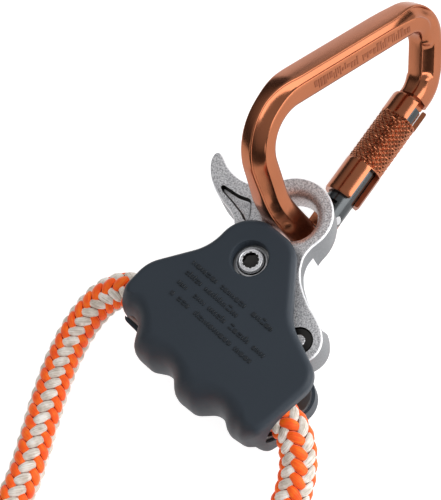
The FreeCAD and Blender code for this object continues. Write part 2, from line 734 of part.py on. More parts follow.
def cord_tube(label, route):
    """A cord as straight runs joined by tangent arcs as large as the runs allow."""
    points = [V(*p) - V(0, 0, REAR_FACE) for p in route]
    corners = []
    radii = []
    for before, here, after in zip(points, points[1:], points[2:]):
        run = min((here - before).Length, (after - here).Length)
        turn = (here - before).getAngle(after - here)
        radii.append(0.45 * run / math.tan(turn / 2))
        corners.append(corner_arc(before, here, after, radii[-1]))
    edges = []
    start = points[0]
    for first, middle, last in corners:
        edges.append(Part.LineSegment(start, first).toShape())
        edges.append(Part.Arc(first, middle, last).toShape())
        start = last
    edges.append(Part.LineSegment(start, points[-1]).toShape())
    wire = Part.Wire(edges)
    ring = Part.Wire([Part.makeCircle(ROPE_RADIUS, points[0], points[1] - points[0])])
    tube = wire.makePipeShell([ring], True, False)
    expected = math.pi * ROPE_RADIUS ** 2 * wire.Length
    print(label, "length", round(wire.Length, 1), "volume share", round(tube.Volume / expected, 4),
          "radii", [round(r, 1) for r in radii])
    feature = doc.addObject("Part::Feature", label)
    feature.Shape = tube
    return keep(label, feature)


def end_sleeve(label, tip, ahead):
    """A closed shrink sleeve over the last 24 mm of a rope end."""
    sleeve = doc.addObject("Part::Cylinder", label + "_blank")
    sleeve.Radius = ROPE_RADIUS + 0.5
    sleeve.Height = 25.0
    direction = V(*ahead).normalize()
    start = V(*tip) - V(0, 0, REAR_FACE) - direction * 24.0
    sleeve.Placement = FreeCAD.Placement(start, FreeCAD.Rotation(V(0, 0, 1), direction))
    keep(label, sleeve)


def make_rope():
    inside = cylinder("rope_core", "sizes.rope_diameter / 2", "57", (-26, 0, 0), (0, 1, 0), 90)
    keep("rope_inside", inside)
    cord_tube("rope_left", LEFT_ROUTE)
    cord_tube("rope_right", RIGHT_ROUTE)
    end_sleeve("rope_end_sleeve", RIGHT_ROUTE[-1], (7.0, -5.4, 0.0))
    ground = f"-{REAR_FACE_TEXT}"
    centre = (size("coil_x"), size("coil_y"), 0)
    outer = cylinder("coil_outer", "sizes.coil_outer_radius", "sizes.coil_height", centre,
                     Placement__Base__z=ground)
    inner = cylinder("coil_inner", "sizes.coil_inner_radius", "60", centre, Placement__Base__z="-30")
    keep("rope_coil", cut("rope_coil", outer, inner))
    strap = block("tie_outer", 1, 16, 1, (0, size("coil_y") - 8, 0))
    bind(strap, Length="sizes.coil_outer_radius - sizes.coil_inner_radius + 2",
         Height="sizes.coil_height + 1",
         Placement__Base__x="sizes.coil_x + sizes.coil_inner_radius - 1", Placement__Base__z=ground)
    keep("coil_tie", strap)


# ------------------------------------------------------------------ build, check, write
make_housing()
make_covers()
make_pivot()
make_arm()
make_cam()
make_carabiner()
make_rope()
doc.recompute()

faulty = [o.Name for o in doc.Objects if {"Invalid", "Error"} & set(o.State)]
if faulty:
    raise RuntimeError(f"features that failed: {faulty}")
for node in nodes:
    shape = node.Shape
    if shape.isNull() or not shape.isValid() or not shape.Solids:
        raise RuntimeError(f"{node.Label} has no valid solid")

os.makedirs("parts", exist_ok=True)
for node in nodes:
    node.Shape.exportStep(f"parts/{node.Label}.step")
    box = node.Shape.optimalBoundingBox(False, False)
    print(node.Label, "volume", round(node.Shape.Volume, 1), "solids", len(node.Shape.Solids),
          "x", round(box.XMin, 1), round(box.XMax, 1), "y", round(box.YMin, 1), round(box.YMax, 1),
          "z", round(box.ZMin, 1), round(box.ZMax, 1))
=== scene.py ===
"""Looks of a rope grab with its carabiner and rope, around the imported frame.

Shapes are written in mm: the grab's from the channel's middle, the carabiner's from its hinge pin.
Meshes, the rope's line and the stage are in metres.
"""

import math

import bmesh
import bpy
import numpy as np
from mathutils import Matrix, Quaternion, Vector


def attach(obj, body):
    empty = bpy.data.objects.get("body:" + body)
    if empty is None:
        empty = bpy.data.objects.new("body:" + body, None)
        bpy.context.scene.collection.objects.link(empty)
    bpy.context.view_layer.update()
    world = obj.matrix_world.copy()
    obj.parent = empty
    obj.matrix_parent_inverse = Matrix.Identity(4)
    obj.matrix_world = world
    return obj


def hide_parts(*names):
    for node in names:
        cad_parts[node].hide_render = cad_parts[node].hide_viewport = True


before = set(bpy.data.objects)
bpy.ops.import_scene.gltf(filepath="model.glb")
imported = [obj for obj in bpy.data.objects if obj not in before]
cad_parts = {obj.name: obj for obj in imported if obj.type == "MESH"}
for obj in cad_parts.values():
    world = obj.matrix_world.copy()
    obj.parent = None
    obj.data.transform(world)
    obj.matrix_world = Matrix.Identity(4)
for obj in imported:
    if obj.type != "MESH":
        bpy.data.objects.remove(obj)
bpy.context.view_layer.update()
scene = bpy.context.scene
rng = np.random.default_rng(7)

# From the channel's middle to the row frame's origin, in mm.
SHIFT = np.array([3.6, -58.9, 18.1])
GROUND_DROP = 18.1


def at(x, y, z=0.0):
    """A point measured in mm from the channel's middle, as a row-frame vector."""
    return Vector(((x + SHIFT[0]) / 1000, (y + SHIFT[1]) / 1000, (z + SHIFT[2]) / 1000))


def ease(x):
    x = min(1.0, max(0.0, x))
    return x * x * (3 - 2 * x)


# --- materials
def new_material(name):
    mat = bpy.data.materials.new(name)
    mat.use_nodes = True
    nodes = mat.node_tree.nodes
    return mat, nodes, mat.node_tree.links, nodes["Principled BSDF"]


def coordinates(nodes, links, scale=(1, 1, 1)):
    coords = nodes.new("ShaderNodeTexCoord")
    mapping = nodes.new("ShaderNodeMapping")
    mapping.inputs["Scale"].default_value = scale
    links.new(coords.outputs["Object"], mapping.inputs["Vector"])
    return mapping.outputs["Vector"]


def noise(nodes, links, vector, scale, detail=3.0):
    tex = nodes.new("ShaderNodeTexNoise")
    tex.inputs["Scale"].default_value = scale
    tex.inputs["Detail"].default_value = detail
    links.new(vector, tex.inputs["Vector"])
    return tex.outputs["Fac"]


def ramp(nodes, links, source, stops):
    node = nodes.new("ShaderNodeValToRGB")
    while len(node.color_ramp.elements) < len(stops):
        node.color_ramp.elements.new(0.5)
    for element, (position, colour) in zip(node.color_ramp.elements, stops):
        element.position = position
        element.color = (*colour, 1) if len(colour) == 3 else colour
    links.new(source, node.inputs["Fac"])
    return node.outputs["Color"]


def to_range(nodes, links, source, low, high):
    node = nodes.new("ShaderNodeMapRange")
    node.inputs["To Min"].default_value = low
    node.inputs["To Max"].default_value = high
    links.new(source, node.inputs["Value"])
    return node.outputs["Result"]


def bump(nodes, links, bsdf, height, strength, distance, previous=None):
    node = nodes.new("ShaderNodeBump")
    node.inputs["Strength"].default_value = strength
    node.inputs["Distance"].default_value = distance
    links.new(height, node.inputs["Height"])
    if previous is not None:
        links.new(previous, node.inputs["Normal"])
    links.new(node.outputs["Normal"], bsdf.inputs["Normal"])
    return node.outputs["Normal"]


def metal(name, low, high, rough, grain_scale, grain_strength, stretch=(1, 1, 1), metallic=1.0):
    """A metal whose colour and roughness drift a little, with a fine grain in its surface."""
    mat, nodes, links, bsdf = new_material(name)
    vector = coordinates(nodes, links, stretch)
    drift = noise(nodes, links, vector, 60, 4)
    links.new(ramp(nodes, links, drift, [(0.3, low), (0.7, high)]), bsdf.inputs["Base Color"])
    links.new(to_range(nodes, links, noise(nodes, links, vector, 350, 3), rough * 0.8, rough * 1.25),
              bsdf.inputs["Roughness"])
    bsdf.inputs["Metallic"].default_value = metallic
    grain = noise(nodes, links, vector, grain_scale, 2)
    bump(nodes, links, bsdf, grain, grain_strength, 0.0001)
    return mat


COPPER = metal("copper_anodised", (0.35, 0.122, 0.06), (0.40, 0.14, 0.068), 0.19, 2500, 0.05)
# A darker copy of the copper, used as painted shade: on the bars in place of stamped lettering, in the
# sleeve's bore and on the prong between its low mouths.
COPPER_DARK_SHADE = metal("copper_dark_painted_shade", (0.22, 0.07, 0.036), (0.32, 0.11, 0.055), 0.34, 1800, 0.5)
STEEL = metal("stainless", (0.56, 0.56, 0.57), (0.68, 0.68, 0.69), 0.22, 1500, 0.08)
SPRING = metal("spring_steel", (0.4, 0.4, 0.42), (0.5, 0.5, 0.52), 0.3, 1500, 0.1)
BRONZE = metal("bronze", (0.5, 0.32, 0.16), (0.6, 0.4, 0.22), 0.3, 900, 0.1)
GREY = metal("grey_anodised", (0.055, 0.06, 0.062), (0.085, 0.09, 0.094), 0.22, 1500, 0.05)
# Black steel: the cam pin's own colour, and painted shade in the bolt's socket and groove and in the arm's
# recesses.
DARK_STEEL_AND_SHADE = metal("oxide_black_and_painted_shade", (0.035, 0.034, 0.033), (0.06, 0.058, 0.056), 0.3, 1500, 0.1)


def blasted(name, low, mid, high, pits, rough):
    """Bead-blasted aluminium: a sparkling grain of tiny pits."""
    mat, nodes, links, bsdf = new_material(name)
    vector = coordinates(nodes, links)
    cells = nodes.new("ShaderNodeTexVoronoi")
    cells.inputs["Scale"].default_value = 2400
    links.new(vector, cells.inputs["Vector"])
    speck = noise(nodes, links, vector, 1900, 2)
    links.new(ramp(nodes, links, speck, [(0.36, low), (0.5, mid), (0.66, high)]), bsdf.inputs["Base Color"])
    bsdf.inputs["Metallic"].default_value = 0.75
    bsdf.inputs["Roughness"].default_value = rough
    first = bump(nodes, links, bsdf, cells.outputs["Distance"], pits, 0.0003)
    bump(nodes, links, bsdf, speck, pits * 0.8, 0.0003, first)
    return mat


BLASTED = blasted("blasted_aluminium", (0.46, 0.46, 0.48), (0.76, 0.76, 0.78), (0.97, 0.97, 0.98), 0.26, 0.42)
# Smoother aluminium for the arm's sides; its dark colour is partly painted shade.
SATIN_AND_SHADE = blasted("satin_aluminium_and_painted_shade", (0.19, 0.195, 0.205), (0.215, 0.22, 0.23), (0.24, 0.245, 0.255),
                0.04, 0.42)
# Bright metal for the bolt's head, and a painted highlight along the arm's rounded edges.
BRIGHT_METAL_AND_HIGHLIGHT = blasted("bright_aluminium_and_edge_highlight", (0.85, 0.85, 0.87), (0.92, 0.92, 0.94), (0.97, 0.97, 0.98),
                      0.05, 0.5)


def moulded():
    """Dark slate plastic with a fine even grain."""
    mat, nodes, links, bsdf = new_material("cover_plastic")
    vector = coordinates(nodes, links)
    drift = noise(nodes, links, vector, 25, 2)
    links.new(ramp(nodes, links, drift, [(0.3, (0.027, 0.037, 0.050)), (0.7, (0.031, 0.042, 0.056))]),
              bsdf.inputs["Base Color"])
    links.new(to_range(nodes, links, noise(nodes, links, vector, 500, 3), 0.46, 0.58),
              bsdf.inputs["Roughness"])
    bsdf.inputs["Specular IOR Level"].default_value = 0.38
    bump(nodes, links, bsdf, noise(nodes, links, vector, 2400, 2), 0.12, 0.0002)
    return mat


PLASTIC = moulded()


def channel_steel():
    """Stainless sheet, a little dull, with painted shade: dark between the plates, where the channel's inside
    lies hidden.
    """
    mat, nodes, links, bsdf = new_material("channel_steel")
    vector = coordinates(nodes, links)
    split = nodes.new("ShaderNodeSeparateXYZ")
    links.new(vector, split.inputs["Vector"])
    level = to_range(nodes, links, split.outputs["Z"], 0.0, 1.0)
    level.node.inputs["From Min"].default_value = 0.0018
    level.node.inputs["From Max"].default_value = 0.0344
    grime = noise(nodes, links, vector, 300, 4)
    # Painted shade: a dark colour for the middle of the height between the plates; the plates' edges keep the
    # steel colour.
    shade_between_plates = (0.06, 0.05, 0.045)
    stops = [(0.0, (0.6, 0.6, 0.61)), (0.22, (0.62, 0.62, 0.63)), (0.27, shade_between_plates), (0.78, shade_between_plates),
             (0.83, (0.66, 0.66, 0.67)), (1.0, (0.68, 0.68, 0.69))]
    links.new(ramp(nodes, links, level, stops), bsdf.inputs["Base Color"])
    links.new(to_range(nodes, links, grime, 0.22, 0.4), bsdf.inputs["Roughness"])
    bsdf.inputs["Metallic"].default_value = 1.0
    bump(nodes, links, bsdf, grime, 0.08, 0.0002)
    return mat


CHANNEL = channel_steel()


def plain_plastic(name, low, high, rough):
    mat, nodes, links, bsdf = new_material(name)
    vector = coordinates(nodes, links)
    drift = noise(nodes, links, vector, 120, 3)
    links.new(ramp(nodes, links, drift, [(0.3, low), (0.7, high)]), bsdf.inputs["Base Color"])
    bsdf.inputs["Roughness"].default_value = rough
    bump(nodes, links, bsdf, noise(nodes, links, vector, 900, 3), 0.2, 0.0002)
    return mat


BEARING = plain_plastic("bearing_plastic", (0.75, 0.75, 0.7), (0.85, 0.85, 0.82), 0.4)
# A darker copy of the cover plastic for the raised marks: painted shade.
MARK_SHADE_PLASTIC = plain_plastic("cover_marks", (0.009, 0.013, 0.018), (0.013, 0.018, 0.025), 0.5)
SHRINK = plain_plastic("shrink_sleeve", (0.012, 0.012, 0.014), (0.02, 0.02, 0.022), 0.35)


def yarn(name, deep, mid, light, rough=0.62):
    """A filament yarn: fine threads run along each strand, which darkens where it dives under; the colour
    also glows faintly as painted light.
    """
    mat, nodes, links, bsdf = new_material(name)
    uv = nodes.new("ShaderNodeUVMap")
    uv.uv_map = "strand"
    stretch = nodes.new("ShaderNodeMapping")
    stretch.inputs["Scale"].default_value = (0.7, 9.0, 1)
    links.new(uv.outputs["UV"], stretch.inputs["Vector"])
    threads = noise(nodes, links, stretch.outputs["Vector"], 1.6, 4)
    vector = coordinates(nodes, links)
    blotch = noise(nodes, links, vector, 330, 3)
    add = nodes.new("ShaderNodeMath")
    add.operation = "ADD"
    links.new(threads, add.inputs[0])
    links.new(blotch, add.inputs[1])
    half = nodes.new("ShaderNodeMath")
    half.operation = "MULTIPLY"
    half.inputs[1].default_value = 0.5
    links.new(add.outputs[0], half.inputs[0])
    colour = ramp(nodes, links, half.outputs[0], [(0.34, deep), (0.5, mid), (0.62, light)])
    links.new(colour, bsdf.inputs["Base Color"])
    bsdf.inputs["Roughness"].default_value = rough
    bsdf.inputs["Sheen Weight"].default_value = 0.25
    bsdf.inputs["Sheen Roughness"].default_value = 0.4
    # Painted light: the yarn's colour also glows faintly, to brighten the rope.
    links.new(colour, bsdf.inputs["Emission Color"])
    bsdf.inputs["Emission Strength"].default_value = 0.2
    bump(nodes, links, bsdf, threads, 0.55, 0.0003)
    return mat


ORANGE = yarn("rope_orange", (0.8, 0.06, 0.0015), (1.0, 0.12, 0.002), (1.0, 0.19, 0.006))
WHITE = yarn("rope_white", (0.42, 0.35, 0.28), (0.72, 0.65, 0.57), (0.93, 0.89, 0.84))
CORE = plain_plastic("rope_core", (0.2, 0.03, 0.004), (0.3, 0.05, 0.006), 0.8)


# --- mesh helpers
def linked(name, data):
    """A new object in the scene that holds the data."""
    obj = bpy.data.objects.new(name, data)
    scene.collection.objects.link(obj)
    return obj


def tube_faces(rings, sides, base=0):
    """Four-sided faces between the rings of a tube whose points are numbered ring by ring."""
    faces = []
    for i in range(rings - 1):
        low, high = base + i * sides, base + (i + 1) * sides
        for k in range(sides):
            j = (k + 1) % sides
            faces.append((low + k, low + j, high + j, high + k))
    return faces


def dressed(name, data, body, mats, sharp, pick=None):
    """A smooth-shaded piece with its materials, riding on its body; pick chooses each face's."""
    obj = linked(name, data)
    for mat in mats if isinstance(mats, (list, tuple)) else [mats]:
        data.materials.append(mat)
    data.polygons.foreach_set("use_smooth", [True] * len(data.polygons))
    if pick:
        for face in data.polygons:
            face.material_index = pick(np.array(face.center) * 1000 - SHIFT, face.normal)
    data.set_sharp_from_angle(angle=math.radians(sharp))
    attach(obj, body)
    return obj


def add_mesh(name, verts, faces, body, mats, sharp):
    """A piece from points and faces, in row-frame metres."""
    data = bpy.data.meshes.new(name)
    data.from_pydata([tuple(map(float, v)) for v in verts], [], [tuple(map(int, f)) for f in faces])
    data.validate()
    return dressed(name, data, body, mats, sharp)


def finish_bmesh(name, bm, body, mats, sharp=35, pick=None):
    bmesh.ops.remove_doubles(bm, verts=bm.verts, dist=1e-7)
    bmesh.ops.recalc_face_normals(bm, faces=bm.faces)
    data = bpy.data.meshes.new(name)
    bm.to_mesh(data)
    bm.free()
    return dressed(name, data, body, mats, sharp, pick)


def rounded(corners, step=0.5, closed=True):
    """Dense 2-D points along (x, y, radius) corners, in mm."""
    pts = []
    n = len(corners)
    for i, (x, y, r) in enumerate(corners):
        here = np.array([x, y], float)
        if r == 0 or (not closed and i in (0, n - 1)):
            pts.append(here)
            continue
        a = np.array(corners[i - 1][:2], float)
        b = np.array(corners[(i + 1) % n][:2], float)
        u = (a - here) / np.linalg.norm(a - here)
        v = (b - here) / np.linalg.norm(b - here)
        half = math.acos(max(-1, min(1, float(u @ v)))) / 2
        mid = (u + v) / np.linalg.norm(u + v)
        centre = here + mid * r / math.sin(half)
        p0 = here + u * r / math.tan(half)
        p1 = here + v * r / math.tan(half)
        a0 = math.atan2(*(p0 - centre)[::-1])
        a1 = math.atan2(*(p1 - centre)[::-1])
        turn = (a1 - a0 + math.pi) % (2 * math.pi) - math.pi
        count = max(2, int(abs(turn) * r / step))
        for k in range(count + 1):
            t = a0 + turn * k / count
            pts.append(centre + r * np.array([math.cos(t), math.sin(t)]))
    return resample(np.array(pts), step, closed)


def resample(pts, step, closed=True):
    """Points evenly spaced along a 2-D or 3-D polyline."""
    line = np.vstack([pts, pts[:1]]) if closed else np.asarray(pts, float)
    seg = np.linalg.norm(np.diff(line, axis=0), axis=1)
    line = line[np.concatenate([[True], seg > 1e-9])]
    seg = np.linalg.norm(np.diff(line, axis=0), axis=1)
    s = np.concatenate([[0], np.cumsum(seg)])
    count = max(8, int(round(s[-1] / step)))
    where = np.linspace(0, s[-1], count, endpoint=not closed)
    return np.stack([np.interp(where, s, line[:, k]) for k in range(line.shape[1])], axis=1)


def smooth_loop(pts, passes, weight=0.5, mask=None):
    pts = np.array(pts, float)
    for _ in range(passes):
        middle = (np.roll(pts, 1, 0) + np.roll(pts, -1, 0)) / 2
        moved = pts + weight * (middle - pts)
        pts = moved if mask is None else pts + mask[:, None] * (moved - pts)
    return pts


def area_twice(pts):
    """Twice the area within a closed loop, negative if it runs clockwise."""
    return np.sum(pts[:, 0] * np.roll(pts[:, 1], -1) - np.roll(pts[:, 0], -1) * pts[:, 1])


def inward(pts):
    """Unit normals of a closed loop, pointing into it."""
    tangent = np.roll(pts, -1, 0) - np.roll(pts, 1, 0)
    tangent /= np.linalg.norm(tangent, axis=1)[:, None]
    normal = np.stack([-tangent[:, 1], tangent[:, 0]], axis=1)
    return normal if area_twice(pts) > 0 else -normal


def circle(x, y, r, count=96):
    t = np.linspace(0, 2 * math.pi, count, endpoint=False)
    return np.stack([x + r * np.cos(t), y + r * np.sin(t)], axis=1)


def quarter(steps=6):
    return [math.pi / 2 * k / steps for k in range(steps + 1)]


def ring_verts(bm, pts, z):
    heights = np.broadcast_to(z, len(pts))
    return [bm.verts.new(at(p[0], p[1], h)) for p, h in zip(pts, heights)]


def bridge(bm, a, b):
    n = len(a)
    for i in range(n):
        j = (i + 1) % n
        bm.faces.new((a[i], a[j], b[j], b[i]))


def skin(bm, rings):
    """Faces between each ring and the next."""
    for a, b in zip(rings, rings[1:]):
        bridge(bm, a, b)


def fill(bm, loops):
    """Fills the flat area between an outer loop of vertices and the loops of its holes."""
    edges = []
    for loop in loops:
        for i in range(len(loop)):
            j = (i + 1) % len(loop)
            edges.append(bm.edges.get((loop[i], loop[j])) or bm.edges.new((loop[i], loop[j])))
    bmesh.ops.triangle_fill(bm, use_beauty=True, use_dissolve=False, edges=edges)


def boolean_cut(obj, cutter):
    mod = obj.modifiers.new("cut", "BOOLEAN")
    mod.operation = "DIFFERENCE"
    mod.solver = "EXACT"
    mod.object = cutter
    dg = bpy.context.evaluated_depsgraph_get()
    mesh = bpy.data.meshes.new_from_object(obj.evaluated_get(dg))
    old = obj.data
    obj.modifiers.remove(mod)
    obj.data = mesh
    bpy.data.meshes.remove(old)
    bpy.data.objects.remove(cutter)
    obj.data.polygons.foreach_set("use_smooth", [True] * len(obj.data.polygons))
    obj.data.set_sharp_from_angle(angle=math.radians(32))


# --- moulded covers
# Heights of the faces above and below the channel's middle, and places seen from the front.
PLATE_FACE = 10.25
FRONT_FACE = 14.75
REAR_FACE = 18.1
PIVOT = (-6.0, 30.3)
RECESS_RADIUS = 6.3
ROOM_REACH = 60.0
MARK_HEIGHT = 0.36


FRONT_CORNERS = [
    (-20.0, 43.5, 12.0), (2.6, 43.7, 10.0), (19.8, 23.2, 18.0), (40.0, 15.2, 8.5), (37.6, -11.0, 5.0),
    (33.2, -15.2, 4.5), (26.4, -16.2, 4.5), (20.4, -12.2, 5.0), (13.4, -18.8, 5.2), (4.4, -19.4, 5.2),
    (-1.4, -13.7, 5.0), (-8.6, -17.9, 5.2), (-17.6, -18.1, 5.2), (-23.4, -8.2, 5.1), (-32.5, -11.3, 3.0),
    (-32.6, 7.0, 13.0), (-20.2, 25.0, 18.0),
]
REAR_CORNERS = [
    (-18.4, 41.8, 11.5), (0.9, 41.8, 9.0), (17.6, 21.8, 18.0), (36.9, 13.3, 8.5), (35.6, -11.6, 4.0),
    (30.5, -13.4, 4.0), (24.5, -13.8, 5.0), (17.4, -12.0, 5.0), (11.6, -14.6, 5.0), (2.4, -14.8, 5.0),
    (-3.4, -12.2, 5.0), (-9.2, -14.2, 5.0), (-18.2, -13.8, 5.0), (-24.1, -11.6, 5.0), (-31.2, -11.4, 2.0),
    (-31.4, 6.2, 12.0), (-18.9, 24.6, 18.0),
]


def shell_cutter():
    """The room that the steel channel takes inside the covers."""
    bm = bmesh.new()
    steps = 24
    profile = [(ROOM_REACH, PLATE_FACE), (ROOM_REACH, -PLATE_FACE)]
    profile += [(-PLATE_FACE * math.sin(math.pi * k / steps), -PLATE_FACE * math.cos(math.pi * k / steps))
                for k in range(steps + 1)]
    left = [bm.verts.new(at(-ROOM_REACH, y, z)) for y, z in profile]
    right = [bm.verts.new(at(ROOM_REACH, y, z)) for y, z in profile]
    bridge(bm, left, right)
    bm.faces.new(left)
    bm.faces.new(right[::-1])
    bmesh.ops.recalc_face_normals(bm, faces=bm.faces)
    data = bpy.data.meshes.new("channel_room")
    bm.to_mesh(data)
    bm.free()
    return linked("channel_room", data)


def make_cover(name, node, corners, side, face):
    """One moulded shell: a tight edge along the plate and soft falls into the finger grooves."""
    loop = rounded(corners, 0.45)[::-1]
    x, y = loop[:, 0], loop[:, 1]
    finger = np.clip((-4.0 - y) / 5.0, 0, 1) * np.clip((38.5 - x) / 9.0, 0, 1)
    soft = smooth_loop(np.stack([finger, finger], 1), 12)[:, 0]
    reach = 2.3 + 7.2 * soft
    drop = 2.2 + (face - 3.4) * soft
    inner = smooth_loop(loop, 60, mask=soft)
    target = inner + inward(inner) * (reach * 0.9)[:, None]
    target = smooth_loop(target, 120, mask=np.clip(soft * 1.3, 0, 1) * 0.9)
    target = smooth_loop(target, 6, mask=np.full(len(target), 0.6))
    bm = bmesh.new()
    wall = ring_verts(bm, loop, 0.0)
    rings = [wall]
    for a in quarter(8):
        pts = loop + (target - loop) * (1 - math.cos(a))
        rings.append(ring_verts(bm, pts, side * (face - drop * (1 - math.sin(a)))))
    lip = target + inward(target) * 0.3
    rings.append(ring_verts(bm, lip, side * face))
    skin(bm, rings)
    recess = [(0.9, face), (0.55, face), (0.16, face - 0.18), (0.0, face - 0.6), (0.0, 0.0)]
    hole_rings = [ring_verts(bm, circle(*PIVOT, RECESS_RADIUS + grow), side * height)
                  for grow, height in recess]
    skin(bm, hole_rings)
    fill(bm, [rings[-1], hole_rings[0]])
    fill(bm, [wall, hole_rings[-1]])
    obj = finish_bmesh(name, bm, "grab_body", PLASTIC)
    boolean_cut(obj, shell_cutter())
    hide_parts(node)


def raised_block(bm, x0, x1, y0, y1):
    """A small raised block with soft edges, standing on the front cover."""
    corners = rounded([(x0, y0, 0.22), (x1, y0, 0.22), (x1, y1, 0.22), (x0, y1, 0.22)], 0.3)
    low = ring_verts(bm, corners, FRONT_FACE - 0.15)
    edge = ring_verts(bm, corners, FRONT_FACE + MARK_HEIGHT * 0.55)
    top = ring_verts(bm, corners + inward(corners) * 0.14, FRONT_FACE + MARK_HEIGHT)
    bridge(bm, low, edge)
    bridge(bm, edge, top)
    bm.faces.new(top)
    bm.faces.new(low[::-1])


def make_marks():
    """Four rows of plain raised blocks in place of moulded lettering."""
    bm = bmesh.new()
    rows = [
        (17.3, [(-19.6, -8.2), (-6.2, 5.6), (8.4, 17.4)]),
        (13.3, [(-18.9, -11.6), (-9.8, 6.0)]),
        (9.2, [(-18.6, -13.8), (-10.9, -5.4), (-4.2, 4.0), (5.6, 15.0), (16.6, 22.0)]),
        (5.0, [(-17.9, -15.8), (-14.6, -9.0), (-6.6, 10.4), (12.2, 19.6)]),
    ]
    for y, spans in rows:
        for start, end in spans:
            x = start
            while x < end - 0.7:
                length = float(rng.choice([0.7, 1.1, 1.4, 1.6]))
                tall = float(rng.choice([1.55, 1.55, 2.15]))
                style = int(rng.integers(0, 4))
                x1 = min(x + length, end)
                if style == 0 or length < 1.0:
                    raised_block(bm, x, min(x1, x + 0.62), y - 1.0, y - 1.0 + tall)
                    x1 = min(x1, x + 0.62)
                elif style == 1:
                    raised_block(bm, x, x1, y - 1.0 + tall - 0.62, y - 1.0 + tall)
                    raised_block(bm, x, x1, y - 1.0, y - 0.38)
                elif style == 2:
                    raised_block(bm, x, x + 0.55, y - 1.0, y - 1.0 + tall)
                    raised_block(bm, x1 - 0.5, x1, y - 1.0, y + 0.35)
                else:
                    raised_block(bm, x, x1, y - 1.0, y + 0.5)
                x = x1 + 0.42
    finish_bmesh("cover_marks", bm, "grab_body", MARK_SHADE_PLASTIC)


make_cover("front_cover_shell", "front_cover", FRONT_CORNERS, 1, FRONT_FACE)
make_cover("rear_cover_shell", "rear_cover", REAR_CORNERS, -1, REAR_FACE)
make_marks()


# --- turned fittings
def lathe(name, profile, centre, body, mat, count=96, sharp=28):
    """A turned piece: (radius, height) pairs spun about a vertical axis, in mm."""
    bm = bmesh.new()
    rings = []
    for r, z in profile:
        if r < 1e-6:
            rings.append([bm.verts.new(at(*centre, z))])
        else:
            rings.append(ring_verts(bm, circle(*centre, r, count), z))
    for a, b in zip(rings, rings[1:]):
        if len(a) == 1 or len(b) == 1:
            tip, loop = (a[0], b) if len(a) == 1 else (b[0], a)
            for i in range(len(loop)):
                bm.faces.new((tip, loop[i], loop[(i + 1) % len(loop)]))
        else:
            bridge(bm, a, b)
    finish_bmesh(name, bm, body, mat, sharp)


def star_loop(centre, inner, outer, lobes, count=96, turn=0.0):
    t = np.linspace(0, 2 * math.pi, count, endpoint=False)
    r = (inner + outer) / 2 + (outer - inner) / 2 * np.cos(lobes * (t + turn))
    return np.stack([centre[0] + r * np.cos(t), centre[1] + r * np.sin(t)], axis=1)


def make_bolt():
    """A flanged bolt: a bright collar, a turned groove, a raised rim and a six-sided socket, with painted
    shade in the socket and the groove.
    """
    bm = bmesh.new()
    low = PLATE_FACE
    profile = [(3.0, -15.4), (3.0, low), (5.35, low), (5.5, low + 0.2), (5.5, low + 0.9), (5.3, low + 1.2),
               (4.95, low + 1.3), (4.75, low + 1.15), (4.62, low + 0.7), (4.5, low + 0.75), (4.42, low + 1.6),
               (4.3, low + 2.2), (4.05, low + 2.6), (3.8, low + 2.7), (3.6, low + 2.55), (3.48, low + 2.3),
               (3.36, low + 2.5), (3.2, low + 2.75), (3.0, low + 2.8)]
    rings = [ring_verts(bm, circle(*PIVOT, r), z) for r, z in profile]
    socket = [(2.55, 2.85, low + 2.72), (2.4, 2.7, low + 2.4), (2.35, 2.65, low + 0.9),
              (0.9, 1.0, low + 0.35)]
    for inner, outer, z in socket:
        rings.append(ring_verts(bm, star_loop(PIVOT, inner, outer, 6, turn=0.3), z))
    skin(bm, rings)
    bm.faces.new(rings[-1])
    bm.faces.new(rings[0][::-1])

    def shade(centre, normal):
        r = math.hypot(centre[0] - PIVOT[0], centre[1] - PIVOT[1])
        # Painted shade: the socket and the turned groove take the black steel; the head above the collar's
        # foot takes the bright metal.
        if (r < 2.8 or 4.45 < r < 4.8) and centre[2] > low:
            return 1
        return 2 if centre[2] > low + 0.3 else 0

    obj = finish_bmesh("pivot_bolt_turned", bm, "grab_body",
                       [STEEL, DARK_STEEL_AND_SHADE, BRIGHT_METAL_AND_HIGHLIGHT], 28, shade)
    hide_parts("pivot_bolt")


make_bolt()


# --- forged arm
EYE = (-8.9, 51.8)
EYE_HOLE = 8.2
EYE_ROUND = 3.1
TAIL = (23.2, 21.5)
TAIL_RECESS = 4.5
PIN_HOLE = 2.05
ARM_HALF = 6.0


def arm_loop():
    pts = []
    for deg in range(-14, 164, 3):
        t = math.radians(deg)
        pts.append((EYE[0] + 13.6 * math.cos(t), EYE[1] + 13.6 * math.sin(t)))
    pts += [(-23.6, 54.2), (-26.4, 51.9), (-29.6, 50.6), (-33.5, 50.0), (-37.3, 50.2), (-40.5, 51.0),
            (-43.2, 52.2), (-45.2, 52.9), (-46.3, 52.2), (-46.3, 50.6), (-45.3, 48.3), (-43.4, 46.1),
            (-40.5, 43.8), (-37, 42.0),
            (-33, 40.6), (-28.4, 39.9), (-25.2, 39.1), (-22.6, 37.0), (-20, 33.6), (-16.5, 29.0), (-12, 24.8),
            (-6, 21.0), (2, 18.4), (10, 17.0), (15.8, 16.4)]
    for deg in range(-140, 36, 5):
        t = math.radians(deg)
        pts.append((TAIL[0] + 7.8 * math.cos(t), TAIL[1] + 7.8 * math.sin(t)))
    pts += [(28.6, 27.2), (26.3, 29.0), (22.3, 30.7), (17.6, 32.2), (13.3, 34.2), (9.5, 36.6), (6.5, 39.5),
            (4.7, 43.0), (4.3, 46.2)]
    loop = resample(np.array(pts), 0.5)
    return smooth_loop(loop, 6)


